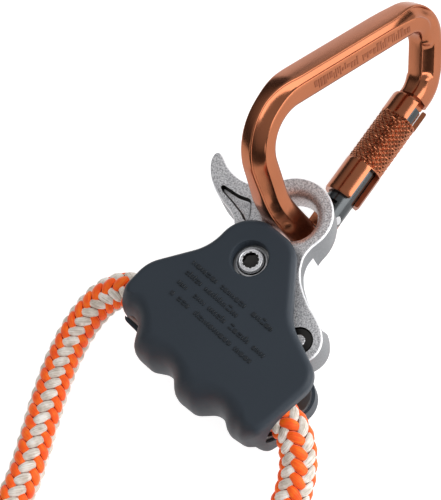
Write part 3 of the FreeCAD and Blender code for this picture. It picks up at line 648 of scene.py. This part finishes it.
def make_arm():
    """The forged arm, with soft edges, a widely rounded eye and a sunk panel in its horn."""
    bm = bmesh.new()
    loop = arm_loop()
    soft = smooth_loop(loop, 10)
    near_tip = np.clip((-38.0 - loop[:, 0]) / 6.0, 0, 1)
    front_edge = 0.75 - 0.2 * near_tip
    rear_edge = front_edge + 1.3 * np.clip((loop[:, 1] - 54.0) / 5.0, 0, 1)
    right = np.clip((loop[:, 0] - 2.0) / 4.0, 0, 1) * np.clip((loop[:, 1] - 21.0) / 6.0, 0, 1)
    flare = right * (0.7 + 1.8 * np.clip((loop[:, 1] - 28.0) / 9.0, 0, 1))
    flare = flare * np.clip((53.0 - loop[:, 1]) / 9.0, 0, 1)
    front_flare = 0.6 * np.clip((loop[:, 1] - 48.0) / 10.0, 0, 1)
    flares = smooth_loop(np.stack([flare, front_flare], 1), 30)
    half = ARM_HALF
    normal = inward(soft)
    loops = {}
    for side in (1, -1):
        flare = flares[:, 1] if side == 1 else flares[:, 0]
        edge = front_edge if side == 1 else rear_edge
        rings = [ring_verts(bm, loop, 0.0)] if side == 1 else [loops["mid"]]
        loops["mid"] = rings[0]
        for a in quarter(5):
            pts = loop + normal * (edge * (1 - math.cos(a)) - flare)[:, None]
            rings.append(ring_verts(bm, pts, side * (half - edge * (1 - math.sin(a)))))
        rings.append(ring_verts(bm, loop + normal * (edge + 0.25 - flare)[:, None], side * half))
        skin(bm, rings)
        loops[side] = rings[-1]
    holes = {1: [], -1: []}
    middle = None
    for side in (1, -1):
        rings = [middle or ring_verts(bm, circle(*EYE, EYE_HOLE), 0.0)]
        middle = rings[0]
        for a in quarter(8):
            opening = circle(*EYE, EYE_HOLE + EYE_ROUND * (1 - math.cos(a)))
            rings.append(ring_verts(bm, opening, side * (half - EYE_ROUND * (1 - math.sin(a)))))
        rings.append(ring_verts(bm, circle(*EYE, 11.5), side * half))
        skin(bm, rings)
        holes[side].append(rings[-1])
    for side in (1, -1):
        recess = [(TAIL_RECESS + 0.2, 0), (TAIL_RECESS, 0.25), (TAIL_RECESS, 1.5), (PIN_HOLE, 1.5)]
        rings = [ring_verts(bm, circle(*TAIL, r), side * (half - depth)) for r, depth in recess]
        skin(bm, rings)
        holes[side].append(rings[0])
        if side == 1:
            bore = rings[-1]
        else:
            bridge(bm, bore, rings[-1])
    panel = [(-38.6, 44.6, 0.7), (-33.5, 43.0, 3.0), (-28.6, 42.4, 4.0), (-23.2, 41.3, 2.0),
             (-18.2, 38.6, 1.2), (-20.6, 43.2, 3.0), (-23.9, 47.2, 1.3), (-28.5, 45.6, 3.0)]
    shape = rounded(panel, 0.35)
    if area_twice(shape) < 0:
        shape = shape[::-1]
    shape = smooth_loop(shape, 4)
    n_in = inward(shape)
    rings = [ring_verts(bm, shape - n_in * 0.35, half)]
    for grow, depth in ((-0.12, 0.06), (0.05, 0.3), (0.25, 1.1), (0.55, 1.55), (1.0, 1.7)):
        rings.append(ring_verts(bm, shape + n_in * grow, half - depth))
    skin(bm, rings)
    fill(bm, [rings[-1]])
    holes[1].append(rings[0])
    for side in (1, -1):
        fill(bm, [loops[side], *holes[side]])
    for y in np.arange(38.0, 45.5, 1.0):
        everything = [*bm.verts, *bm.edges, *bm.faces]
        bmesh.ops.bisect_plane(bm, geom=everything, plane_co=at(0, y), plane_no=(0, 1, 0))
    for vert in bm.verts:
        swell = 1.3 * ease((vert.co.y * 1000 - SHIFT[1] - 38.0) / 7.0)
        vert.co.z += swell * max(0.0, vert.co.z * 1000 - SHIFT[2]) / 6000

    def shade(centre, normal):
        from_eye = math.hypot(centre[0] - EYE[0], centre[1] - EYE[1])
        from_tail = math.hypot(centre[0] - TAIL[0], centre[1] - TAIL[1])
        to_panel = np.min(np.hypot(shape[:, 0] - centre[0], shape[:, 1] - centre[1]))
        # Painted shade: the tail's recess and the walls of the horn's sunk panel take the black steel.
        if from_tail < 4.6 or (to_panel < 0.75 and 4.4 < centre[2] and abs(normal.z) < 0.9):
            return 3
        if from_eye < 12.0 or abs(normal.z) > 0.93:
            return 0
        # The sides take the dark satin metal, partly a smoother finish and partly painted shade; the rounded
        # edges between them take the bright metal as a painted highlight.
        return 1 if abs(normal.z) < 0.2 else 2

    obj = finish_bmesh("arm_forged", bm, "arm_body",
                       [BLASTED, SATIN_AND_SHADE, BRIGHT_METAL_AND_HIGHLIGHT, DARK_STEEL_AND_SHADE], 40, shade)
    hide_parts("arm")


make_arm()
lathe("cam_pin_end", [(0, 5.5), (2.0, 5.5), (2.0, 6.1), (1.8, 6.35), (0, 6.4)], TAIL, "arm_body",
      BLASTED)


# --- carabiner
HINGE = at(-7.0, 63.3, -11.2)
TURN = Quaternion((0, 0, 1), math.radians(98.4)) @ Quaternion((1, 0, 0), math.radians(70.0))


def biner(u, v, n=0.0):
    """A point in the carabiner's own plane, in mm from its hinge pin, in the row frame."""
    return HINGE + TURN @ (Vector((u, v, n)) / 1000)


SPINE = [(52.4, 0.0, 0), (59.0, 0.0, 11.0), (77.0, 23.5, 10.2), (-1.3, 61.6, 17.3), (-12.7, 26.9, 30.0),
         (-11.4, -0.2, 5.8), (-5.0, -0.2, 0)]


def flanged_loop(e_in, n_out):
    """Offsets (e, n) round an I-shaped bar: a low outer flange, a sunk web and a full inner flange."""
    top = n_out - 0.5
    lip = 5.1 - 0.35 * (top / 5) ** 2
    half = [(5.1 - 0.35 * (top * k / 6 / 5) ** 2, top * k / 6) for k in range(0, 6)]
    for k in range(0, 7):
        a = math.radians(30 * k)
        half.append((lip - 0.5 + 0.5 * math.cos(a), top + 0.5 * math.sin(a)))
    start, stop = np.array((lip - 1.0, top - 0.15)), np.array((e_in + 0.15, 4.6))
    across = np.array((stop[1] - start[1], start[0] - stop[0]))
    across /= np.linalg.norm(across)
    for k in range(0, 9):
        f = k / 8
        half.append(tuple(start + (stop - start) * f - across * (2.4 - 0.5 * n_out) * f * (1 - f)))
    half += [(e_in + 0.02, 4.98), (e_in - 0.2, 5.1)]
    half += [(e_in - 0.2 - (e_in + 2.6) * k / 4, 5.1) for k in range(1, 4)]
    for k in range(0, 9):
        a = math.radians(11.25 * k)
        half.append((-2.8 - 1.9 * math.sin(a), 3.2 + 1.9 * math.cos(a)))
    half += [(-4.7, 2.1), (-4.7, 1.0), (-4.7, 0.0)]
    return np.array(half + [(e, -n) for e, n in half[-2:0:-1]])


def turns_of(loop):
    """The polar angle of each point, made to grow along the loop."""
    angles = np.unwrap(np.arctan2(loop[:, 1], loop[:, 0]))
    return np.maximum.accumulate(angles + np.arange(len(angles)) * 1e-5)


def plain_loop(angles, half, r):
    """Points of a rounded square at the given polar angles."""
    c, s = np.cos(angles), np.sin(angles)
    a = half - r
    reach = half / np.maximum(np.abs(c), np.abs(s))
    corner = np.minimum(np.abs(c), np.abs(s)) * reach > a
    both = a * (np.abs(c) + np.abs(s))
    round_reach = both + np.sqrt(np.maximum(0, both ** 2 - (2 * a * a - r * r)))
    reach = np.where(corner, round_reach, reach)
    return np.stack([c * reach, s * reach], axis=1)


def between(s, low, high, soft_low, soft_high):
    return ease((s - low) / soft_low) * ease((high - s) / soft_high)


def make_carabiner_body():
    path = rounded(SPINE, 0.6, closed=False)
    seg = np.linalg.norm(np.diff(path, axis=0), axis=1)
    s = np.concatenate([[0], np.cumsum(seg)])
    total = s[-1]
    tangent = np.gradient(path, axis=0)
    tangent /= np.linalg.norm(tangent, axis=1)[:, None]
    nose_loop = flanged_loop(0.6, 3.2) * np.array((-1, 1))
    nose_loop = np.roll(nose_loop[::-1], 1 + len(nose_loop) // 2, axis=0)
    bm = bmesh.new()
    rings = []
    for i, (p, t) in enumerate(zip(path, tangent)):
        out = np.array([t[1], -t[0]])
        ends = 1 - min(ease(s[i] / 9.0), ease((total - s[i]) / 9.0))
        top_edge = ease((p[0] - 6.0) / 14.0) * ease((p[1] - 24.0) / 10.0)
        leg = ease((44.0 - p[1]) / 16.0) * (p[0] < 0)
        inner = flanged_loop(0.75 + 1.2 * top_edge, 2.4 + 2.0 * top_edge + 0.8 * leg)
        slide = ease((s[i] - 25.0) / 10.0)
        angles = turns_of(inner) * slide + turns_of(nose_loop) * (1 - slide)
        plain = plain_loop(angles, 5.1, 3.2 + 0.6 * ends)
        if s[i] < 25.0:
            shaped, weight = nose_loop, between(s[i], 9.5, 24.0, 3.0, 3.0)
        else:
            shaped, weight = inner, between(s[i], 28.0, total - 19.0, 9.0, 7.0)
        loop = plain * (1 - weight) + shaped * weight
        rings.append([bm.verts.new(biner(p[0] + out[0] * e, p[1] + out[1] * e, n)) for e, n in loop])
    skin(bm, rings)
    for ring in (rings[0], rings[-1]):
        bm.faces.new(ring)
    # tongues at both ends, which the gate's fork and the sleeve close over
    half = 2.6
    hinge_eye = [(-5.4, -4.6), (-2, -4.7)] + [(4.7 * math.cos(t), 4.7 * math.sin(t))
                 for t in np.linspace(-math.pi / 2, math.pi / 2, 25)] + [(-2, 4.7), (-5.4, 4.6)]
    nose_tongue = [(53.4, -4.2), (53.4, 4.0), (51.0, 4.0), (50.2, 3.2), (50.0, 0), (50.2, -3.4), (51.0, -4.2)]
    for outline in (hinge_eye, nose_tongue):
        top = [bm.verts.new(biner(u, v, half)) for u, v in outline]
        low = [bm.verts.new(biner(u, v, -half)) for u, v in outline]
        bridge(bm, top, low)
        bm.faces.new(top)
        bm.faces.new(low)
    obj = finish_bmesh("carabiner_forged", bm, "carabiner", COPPER, 32)
    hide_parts("carabiner_body")


def make_carabiner_marks():
    """Small raised bars along the inner flange, in place of stamped lettering."""
    bm = bmesh.new()
    start, stop = np.array((77.0, 23.5)), np.array((-1.3, 61.6))
    along = (stop - start) / np.linalg.norm(stop - start)
    out = np.array((along[1], -along[0]))
    at_s = 14.0
    while at_s < 60.0:
        long = float(rng.choice([0.5, 0.5, 0.9, 1.3]))
        low = -2.5 + float(rng.choice([0.0, 0.0, 0.9]))
        high = float(rng.choice([0.5, 0.5, -0.5]))
        if not 37.0 < at_s < 39.5:
            box = []
            for grow, n in ((0.06, 5.05), (0.0, 5.2)):
                for d, e in ((-grow, low - grow), (long + grow, low - grow),
                             (long + grow, high + grow), (-grow, high + grow)):
                    q = start + along * (at_s + d) + out * e
                    box.append(bm.verts.new(biner(q[0], q[1], n)))
            bridge(bm, box[:4], box[4:])
            bm.faces.new(box[4:])
            bm.faces.new(box[3::-1])
        at_s += long + 0.5
    # The bars take the darker copper as painted shade, standing in for the shade in stamped recesses.
    finish_bmesh("carabiner_marks", bm, "carabiner", COPPER_DARK_SHADE)


make_carabiner_body()
make_carabiner_marks()


def polar(u, radius, psi):
    """A point about the gate's axis: psi runs in degrees from +v towards +n."""
    t = math.radians(psi)
    return biner(u, radius * math.cos(t), radius * math.sin(t))


def make_sleeve():
    """The locking sleeve: a diamond knurl between two plain ends with mouths."""
    start, end = 8.0, 51.0
    low_mouth, high_mouth = start + 13.2, end - 8.0
    knurl = (21.5, 43.0)
    radius, bore, knurl_starts = 7.0, 5.3, 18
    us = sorted(set([start, start + 0.25, *np.linspace(start + 0.8, knurl[0] - 0.3, 12),
                     *np.linspace(*knurl, 92), *np.linspace(knurl[1] + 0.3, end - 0.8, 8),
                     end - 0.25, end]))
    count = 240
    outer = np.zeros((len(us), count))
    for i, u in enumerate(us):
        for j in range(count):
            psi = 360.0 * j / count
            r = radius
            if knurl[0] <= u <= knurl[1]:
                turn = psi / 360.0 * knurl_starts
                a = u / 2.0 + turn
                b = u / 2.0 - turn
                groove = 1 - 2 * max(abs((a % 1) - 0.5), abs((b % 1) - 0.5))
                lift = ease(min(u - knurl[0], knurl[1] - u) / 0.5)
                r = 6.95 - 0.75 * lift * (1 - min(1.0, groove * 1.15))
            elif u < start + 0.6 or u > end - 0.6:
                r = radius - 0.3 * (1 - ease(min(u - start, end - u) / 0.6))
            outer[i, j] = r

    def open_at(u, psi):
        top = u > high_mouth and (60 <= psi < 128 or 146 <= psi < 238)
        low = u < low_mouth and (60 <= psi < 110 or 150 <= psi < 238)
        return top or low

    verts, index = [], {}

    def vert(i, j, shell):
        key = (i, j % count, shell)
        if key not in index:
            index[key] = len(verts)
            r = outer[i, j % count] if shell else bore
            verts.append(polar(us[i], r, 360.0 * (j % count) / count))
        return index[key]

    solid = np.zeros((len(us) - 1, count), bool)
    for i in range(len(us) - 1):
        for j in range(count):
            solid[i, j] = not open_at((us[i] + us[i + 1]) / 2, 360.0 * (j + 0.5) / count)
    faces = []
    for i in range(len(us) - 1):
        for j in range(count):
            if not solid[i, j]:
                continue
            faces.append((vert(i, j, 1), vert(i, j + 1, 1), vert(i + 1, j + 1, 1), vert(i + 1, j, 1)))
            faces.append((vert(i, j, 0), vert(i + 1, j, 0), vert(i + 1, j + 1, 0), vert(i, j + 1, 0)))
            for di, dj, quad in ((-1, 0, ((i, j), (i, j + 1))), (1, 0, ((i + 1, j + 1), (i + 1, j))),
                                 (0, -1, ((i + 1, j), (i, j))), (0, 1, ((i, j + 1), (i + 1, j + 1)))):
                ni, nj = i + di, (j + dj) % count
                if ni < 0 or ni >= len(us) - 1 or not solid[ni, nj]:
                    (a, b), (c, d) = quad
                    faces.append((vert(a, b, 1), vert(a, b, 0), vert(c, d, 0), vert(c, d, 1)))
    obj = add_mesh("lock_sleeve_knurled", verts, faces, "sleeve_body", COPPER, sharp=38)
    # Painted shade: the bore and the prong between the low mouths take the darker copper.
    obj.data.materials.append(COPPER_DARK_SHADE)
    for face in obj.data.polygons:
        u, v, n = (TURN.inverted() @ (Vector(face.center) - HINGE)) * 1000
        psi = math.degrees(math.atan2(n, v)) % 360
        inside = math.hypot(v, n) < 5.6
        if inside or (u < low_mouth and 105 < psi < 152):
            face.material_index = 1
    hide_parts("lock_sleeve")


make_sleeve()


# --- rope
LEFT_ROUTE = [
    (-26.0, 0.0, 18.1), (-32.2, 0.0, 18.1), (-38.7, -3.4, 17.3), (-43.0, -9.4, 15.2), (-44.3, -17.2, 12.8),
    (-43.9, -25.5, 10.2), (-42.0, -34.0, 8.0), (-38.6, -42.5, 6.9), (-34.0, -51.2, 6.5), (-28.6, -60.2, 6.5),
    (-23.0, -69.6, 6.5), (-18.4, -79.6, 6.5), (-16.6, -91.0, 6.5), (-18.0, -103.0, 6.5), (-21.8, -115.0, 6.5),
    (-26.0, -127.0, 6.5), (-28.6, -137.5, 6.5),
]
RIGHT_ROUTE = [
    (31.0, 0.0, 18.1), (37.5, 0.0, 17.8), (43.6, -2.6, 15.9), (48.6, -7.6, 13.4), (52.1, -13.8, 10.6),
    (54.5, -20.8, 8.2), (56.8, -28.4, 6.9), (60.0, -36.8, 6.5), (64.4, -45.4, 6.5), (70.2, -53.8, 6.7),
    (77.0, -61.0, 7.0), (84.0, -66.4, 7.0),
]
COIL = (34.0, -150.0)
LINE_STEP = 0.0008
CHANNEL_RUN = 0.057


def coil_route():
    """Two layers of two turns, wound inwards on the ground and outwards on top."""
    pts = []
    begin = 181.0
    turns = [(begin, 63.8, 6.5), (begin + 320, 63.8, 6.5), (begin + 400, 50.6, 6.6), (begin + 700, 50.2, 6.6),
             (begin + 760, 50.4, 18.9), (begin + 1040, 50.4, 19.0), (begin + 1120, 63.4, 19.0),
             (begin + 1408, 63.4, 19.0)]
    angles = [t[0] for t in turns]
    deg = begin
    while deg < angles[-1]:
        r = float(np.interp(deg, angles, [t[1] for t in turns])) / 0.991
        z = float(np.interp(deg, angles, [t[2] for t in turns]))
        a = math.radians(deg)
        wobble = 0.25 * math.sin(3.1 * a)
        pts.append((COIL[0] + (r + wobble) * math.cos(a), COIL[1] + (r + wobble) * math.sin(a), z))
        deg += 15.0
    return pts


def nurbs_points(name, route):
    """Points read off the smooth line that has the route as its control points, in row-frame metres."""
    curve = bpy.data.curves.new(name, "CURVE")
    curve.dimensions = "3D"
    curve.resolution_u = 14
    spline = curve.splines.new("NURBS")
    spline.points.add(len(route) - 1)
    for point, p in zip(spline.points, route):
        point.co = (*at(p[0], p[1], p[2] - GROUND_DROP), 1)
    spline.order_u = 3
    spline.use_endpoint_u = True
    obj = linked(name, curve)
    dg = bpy.context.evaluated_depsgraph_get()
    mesh = bpy.data.meshes.new_from_object(obj.evaluated_get(dg))
    pts = np.array([v.co[:] for v in mesh.vertices])
    bpy.data.meshes.remove(mesh)
    bpy.data.objects.remove(obj)
    return resample(pts, LINE_STEP, closed=False)


left_line = nurbs_points("left_line", LEFT_ROUTE + coil_route())
right_line = nurbs_points("right_line", RIGHT_ROUTE)
inside_line = resample(np.array([at(31, 0), at(-26, 0)]), LINE_STEP, closed=False)
whole_line = np.vstack([right_line[::-1], inside_line[1:-1], left_line])
whole_line = resample(whole_line, LINE_STEP, closed=False)


def line_frames(line):
    """Arc lengths and two normals that don't twist, along a line."""
    seg = np.linalg.norm(np.diff(line, axis=0), axis=1)
    s = np.concatenate([[0], np.cumsum(seg)])
    tangent = np.gradient(line, axis=0)
    tangent /= np.linalg.norm(tangent, axis=1)[:, None]
    normal = np.zeros_like(line)
    n = np.array([0, 0, 1.0])
    n -= tangent[0] * (n @ tangent[0])
    normal[0] = n / np.linalg.norm(n)
    for i in range(1, len(line)):
        n = normal[i - 1] - tangent[i] * (normal[i - 1] @ tangent[i])
        normal[i] = n / np.linalg.norm(n)
    return s, normal, np.cross(tangent, normal)


LINE_S, LINE_N, LINE_B = line_frames(whole_line)
S_RIGHT = float(np.sum(np.linalg.norm(np.diff(right_line, axis=0), axis=1)))
S_LEFT = S_RIGHT + CHANNEL_RUN


def on_line(s, theta, r):
    """Row-frame points at a distance along the rope, an angle about it and a radius, as arrays."""
    centre, n, b = (np.stack([np.interp(s, LINE_S, table[:, k]) for k in range(3)], 1)
                    for table in (whole_line, LINE_N, LINE_B))
    return centre + (np.cos(theta) * r)[:, None] * n + (np.sin(theta) * r)[:, None] * b


COLUMNS = 8
PICK_STEP = 0.0043
ROPE_TURN = math.radians(-23.0)


def pick_template():
    """One pick of a strand: a pointed grain, as (along, across, height) triples and faces."""
    rows, around = 11, 8
    verts = []
    for i in range(rows):
        a = -1 + 2 * i / (rows - 1)
        width = max(0.06, (1 - abs(a) ** 2.4) ** 0.62)
        for k in range(around):
            t = 2 * math.pi * k / around
            verts.append((a, width * math.cos(t), (0.35 + 0.65 * width) * math.sin(t) - 0.75 * a * a))
    faces = tube_faces(rows, around)
    faces.append(tuple(range(around))[::-1])
    faces.append(tuple((rows - 1) * around + k for k in range(around)))
    return np.array(verts), faces


def make_rope(name, s_low, s_high, node):
    """A braid of picks in eight columns, white and orange in turn, over a plain core."""
    template, faces = pick_template()
    half_long, half_wide, lean = 0.0041, 0.00175, math.radians(36)
    mean_r, top_r, core_r = 0.00545, 0.00635, 0.0052
    verts, colours = [], []
    for column in range(COLUMNS):
        sign = 1 if column % 2 == 0 else -1
        offset = 0.0 if column % 2 == 0 else PICK_STEP * 0.5
        centre_angle = ROPE_TURN + column * 2 * math.pi / COLUMNS
        s = math.ceil((s_low - offset) / PICK_STEP) * PICK_STEP + offset
        while s < s_high:
            jitter = 1 + float(rng.normal(0, 0.025))
            along = template[:, 0] * half_long * jitter
            across = template[:, 1] * half_wide
            ds = sign * along * math.sin(lean) + across * math.cos(lean)
            around_arc = along * math.cos(lean) - sign * across * math.sin(lean)
            theta = centre_angle + around_arc / mean_r
            r = np.minimum(mean_r + 0.00088 * template[:, 2], top_r)
            where = np.clip(s + ds, LINE_S[0], LINE_S[-1])
            verts.append(on_line(where, theta, r))
            colours.append(column % 2)
            s += PICK_STEP
    count = len(verts)
    size = len(template)
    all_verts = np.vstack(verts)
    all_faces = []
    face_mats = []
    for i in range(count):
        shift = i * size
        for f in faces:
            all_faces.append(tuple(v + shift for v in f))
            face_mats.append(colours[i])
    core_s = np.arange(s_low, s_high, 0.003)
    sides = 14
    base = len(all_verts)
    core = []
    for t in range(sides):
        theta = np.full(len(core_s), 2 * math.pi * t / sides)
        core.append(on_line(core_s, theta, np.full(len(core_s), core_r)))
    core = np.stack(core, 1).reshape(-1, 3)
    core_faces = tube_faces(len(core_s), sides, base)
    for end in (0, len(core_s) - 1):
        core_faces.append(tuple(base + end * sides + t for t in range(sides)))
    all_faces += core_faces
    face_mats += [2] * len(core_faces)
    data = bpy.data.meshes.new(name)
    data.from_pydata(np.vstack([all_verts, core]).tolist(), [], all_faces)
    layer = data.uv_layers.new(name="strand")
    uv = np.zeros((len(data.vertices), 2), np.float32)
    one = np.stack([template[:, 0] * 0.5, np.arctan2(template[:, 2], template[:, 1]) / math.pi], 1)
    for i in range(count):
        uv[i * size:(i + 1) * size] = one + rng.random(2) * 40
    loops = np.zeros(len(data.loops), np.int32)
    data.loops.foreach_get("vertex_index", loops)
    layer.data.foreach_set("uv", uv[loops].reshape(-1))
    for mat in (WHITE, ORANGE, CORE):
        data.materials.append(mat)
    data.polygons.foreach_set("material_index", np.asarray(face_mats, np.int32))
    data.polygons.foreach_set("use_smooth", [True] * len(data.polygons))
    obj = linked(name, data)
    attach(obj, "grab_body")
    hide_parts(*node)
    return obj


rope_right = make_rope("rope_right_braid", 0.003, S_RIGHT, ["rope_right"])
make_rope("rope_inside_braid", S_RIGHT, S_LEFT, ["rope_inside"])
rope_left = make_rope("rope_left_braid", S_LEFT, float(LINE_S[-1]) - 0.003, ["rope_left", "rope_coil"])


def end_cap(name, line_end, node):
    """A shrink sleeve over a rope end: a tight tube with a rounded, slightly sunk tip."""
    s0, s1 = line_end
    sides = 48
    where = [s0, s0 + (s1 - s0) * 0.02, s0 + (s1 - s0) * 0.5, s0 + (s1 - s0) * 0.93, s1, s1]
    radii = [0.0064, 0.0067, 0.00672, 0.0067, 0.0061, 0.0040]
    verts = []
    for s, r in zip(where, radii):
        for t in range(sides):
            verts.append(on_line(np.array([s]), np.array([2 * math.pi * t / sides]), np.array([r]))[0])
    faces = tube_faces(len(where), sides)
    faces.append(tuple(range(sides)))
    faces.append(tuple((len(where) - 1) * sides + t for t in range(sides)))
    obj = add_mesh(name, verts, faces, "grab_body", SHRINK, sharp=40)
    if node:
        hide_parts(node)
    return obj


cap_right = end_cap("rope_end_cap_right", (0.024, 0.0), "rope_end_sleeve")
cap_left = end_cap("rope_end_cap_left", (float(LINE_S[-1]) - 0.024, float(LINE_S[-1])), None)


# --- CAD pieces that stay
LOOKS = {
    "housing": CHANNEL, "pivot_nut": STEEL, "thrust_washers": BEARING, "pivot_bush": BRONZE,
    "arm_return_spring": SPRING, "stop_pin": STEEL, "cam_shoe": STEEL, "cam_pin": DARK_STEEL_AND_SHADE,
    "cam_pin_clip": SPRING,
    "gate": GREY, "gate_hinge_pin": STEEL, "gate_plunger": STEEL, "gate_spring": SPRING, "coil_tie": SHRINK,
}
for node, mat in LOOKS.items():
    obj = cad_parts[node]
    obj.data.materials.clear()
    obj.data.materials.append(mat)


# --- stage, light and camera
def plane(name, size, z, mat):
    data = bpy.data.meshes.new(name)
    h = size / 2
    data.from_pydata([(-h, -h, z), (h, -h, z), (h, h, z), (-h, h, z)], [], [(0, 1, 2, 3)])
    data.materials.append(mat)
    obj = linked(name, data)


floor_mat, _, _, floor_bsdf = new_material("floor")
floor_bsdf.inputs["Base Color"].default_value = (0.6, 0.6, 0.6, 1)
floor_bsdf.inputs["Roughness"].default_value = 0.9
floor_bsdf.inputs["Emission Color"].default_value = (1, 1, 1, 1)
floor_bsdf.inputs["Emission Strength"].default_value = 0.84
plane("floor", 6.0, 0.0, floor_mat)


def area(name, location, target, size, power, colour=(1, 1, 1), size_y=None):
    light = bpy.data.lights.new(name, "AREA")
    light.energy = power
    light.color = colour
    light.size = size
    if size_y:
        light.shape = "RECTANGLE"
        light.size_y = size_y
    obj = linked(name, light)
    obj.location = location
    obj.rotation_euler = (Vector(target) - Vector(location)).to_track_quat("-Z", "Y").to_euler()


area("right_card", (0.57, 0.415, 0.376), (0, 0, 0.03), 0.8, 5.6, size_y=0.7)
area("left_card", (-0.29, 0.80, 0.28), (0, 0, 0.03), 1.0, 1.2, size_y=0.6)
area("edge_card", (-0.1, -0.78, 0.36), (0, 0, 0.03), 0.25, 0.35)

world = bpy.data.worlds.new("studio")
scene.world = world
world.use_nodes = True
wn, wl = world.node_tree.nodes, world.node_tree.links
back = wn["Background"]
coords = wn.new("ShaderNodeTexCoord")
split = wn.new("ShaderNodeSeparateXYZ")
wl.new(coords.outputs["Generated"], split.inputs["Vector"])
SKY = [(0.0, (0.05, 0.05, 0.052)), (0.3, (0.08, 0.08, 0.082)), (0.5, (0.34, 0.34, 0.345)),
       (0.8, (0.5, 0.5, 0.505)), (1.0, (0.55, 0.55, 0.55))]
wl.new(ramp(wn, wl, split.outputs["Z"], SKY), back.inputs["Color"])
back.inputs["Strength"].default_value = 1.0

camera_data = bpy.data.cameras.new("camera")
FOCAL_MM = 112.3
SENSOR_MM = 36
camera_data.lens = FOCAL_MM
camera_data.sensor_width = SENSOR_MM
camera_data.clip_start = 0.01
camera_data.dof.use_dof = False
camera = linked("camera", camera_data)
right = Vector((0.6885, 0.6904, -0.2223))
up = Vector((-0.5899, 0.7113, 0.3822))
away = Vector((0.422, -0.132, 0.8969))
turn = Matrix((right, up, away)).transposed().to_4x4()
CAMERA_PLACE = (202.3, -42.1, 477.8)
camera.matrix_world = Matrix.Translation(at(*CAMERA_PLACE)) @ turn
scene.camera = camera
scene.render.resolution_x = 441
scene.render.resolution_y = 500
scene.view_settings.view_transform = "Standard"
scene.view_settings.exposure = 0.0
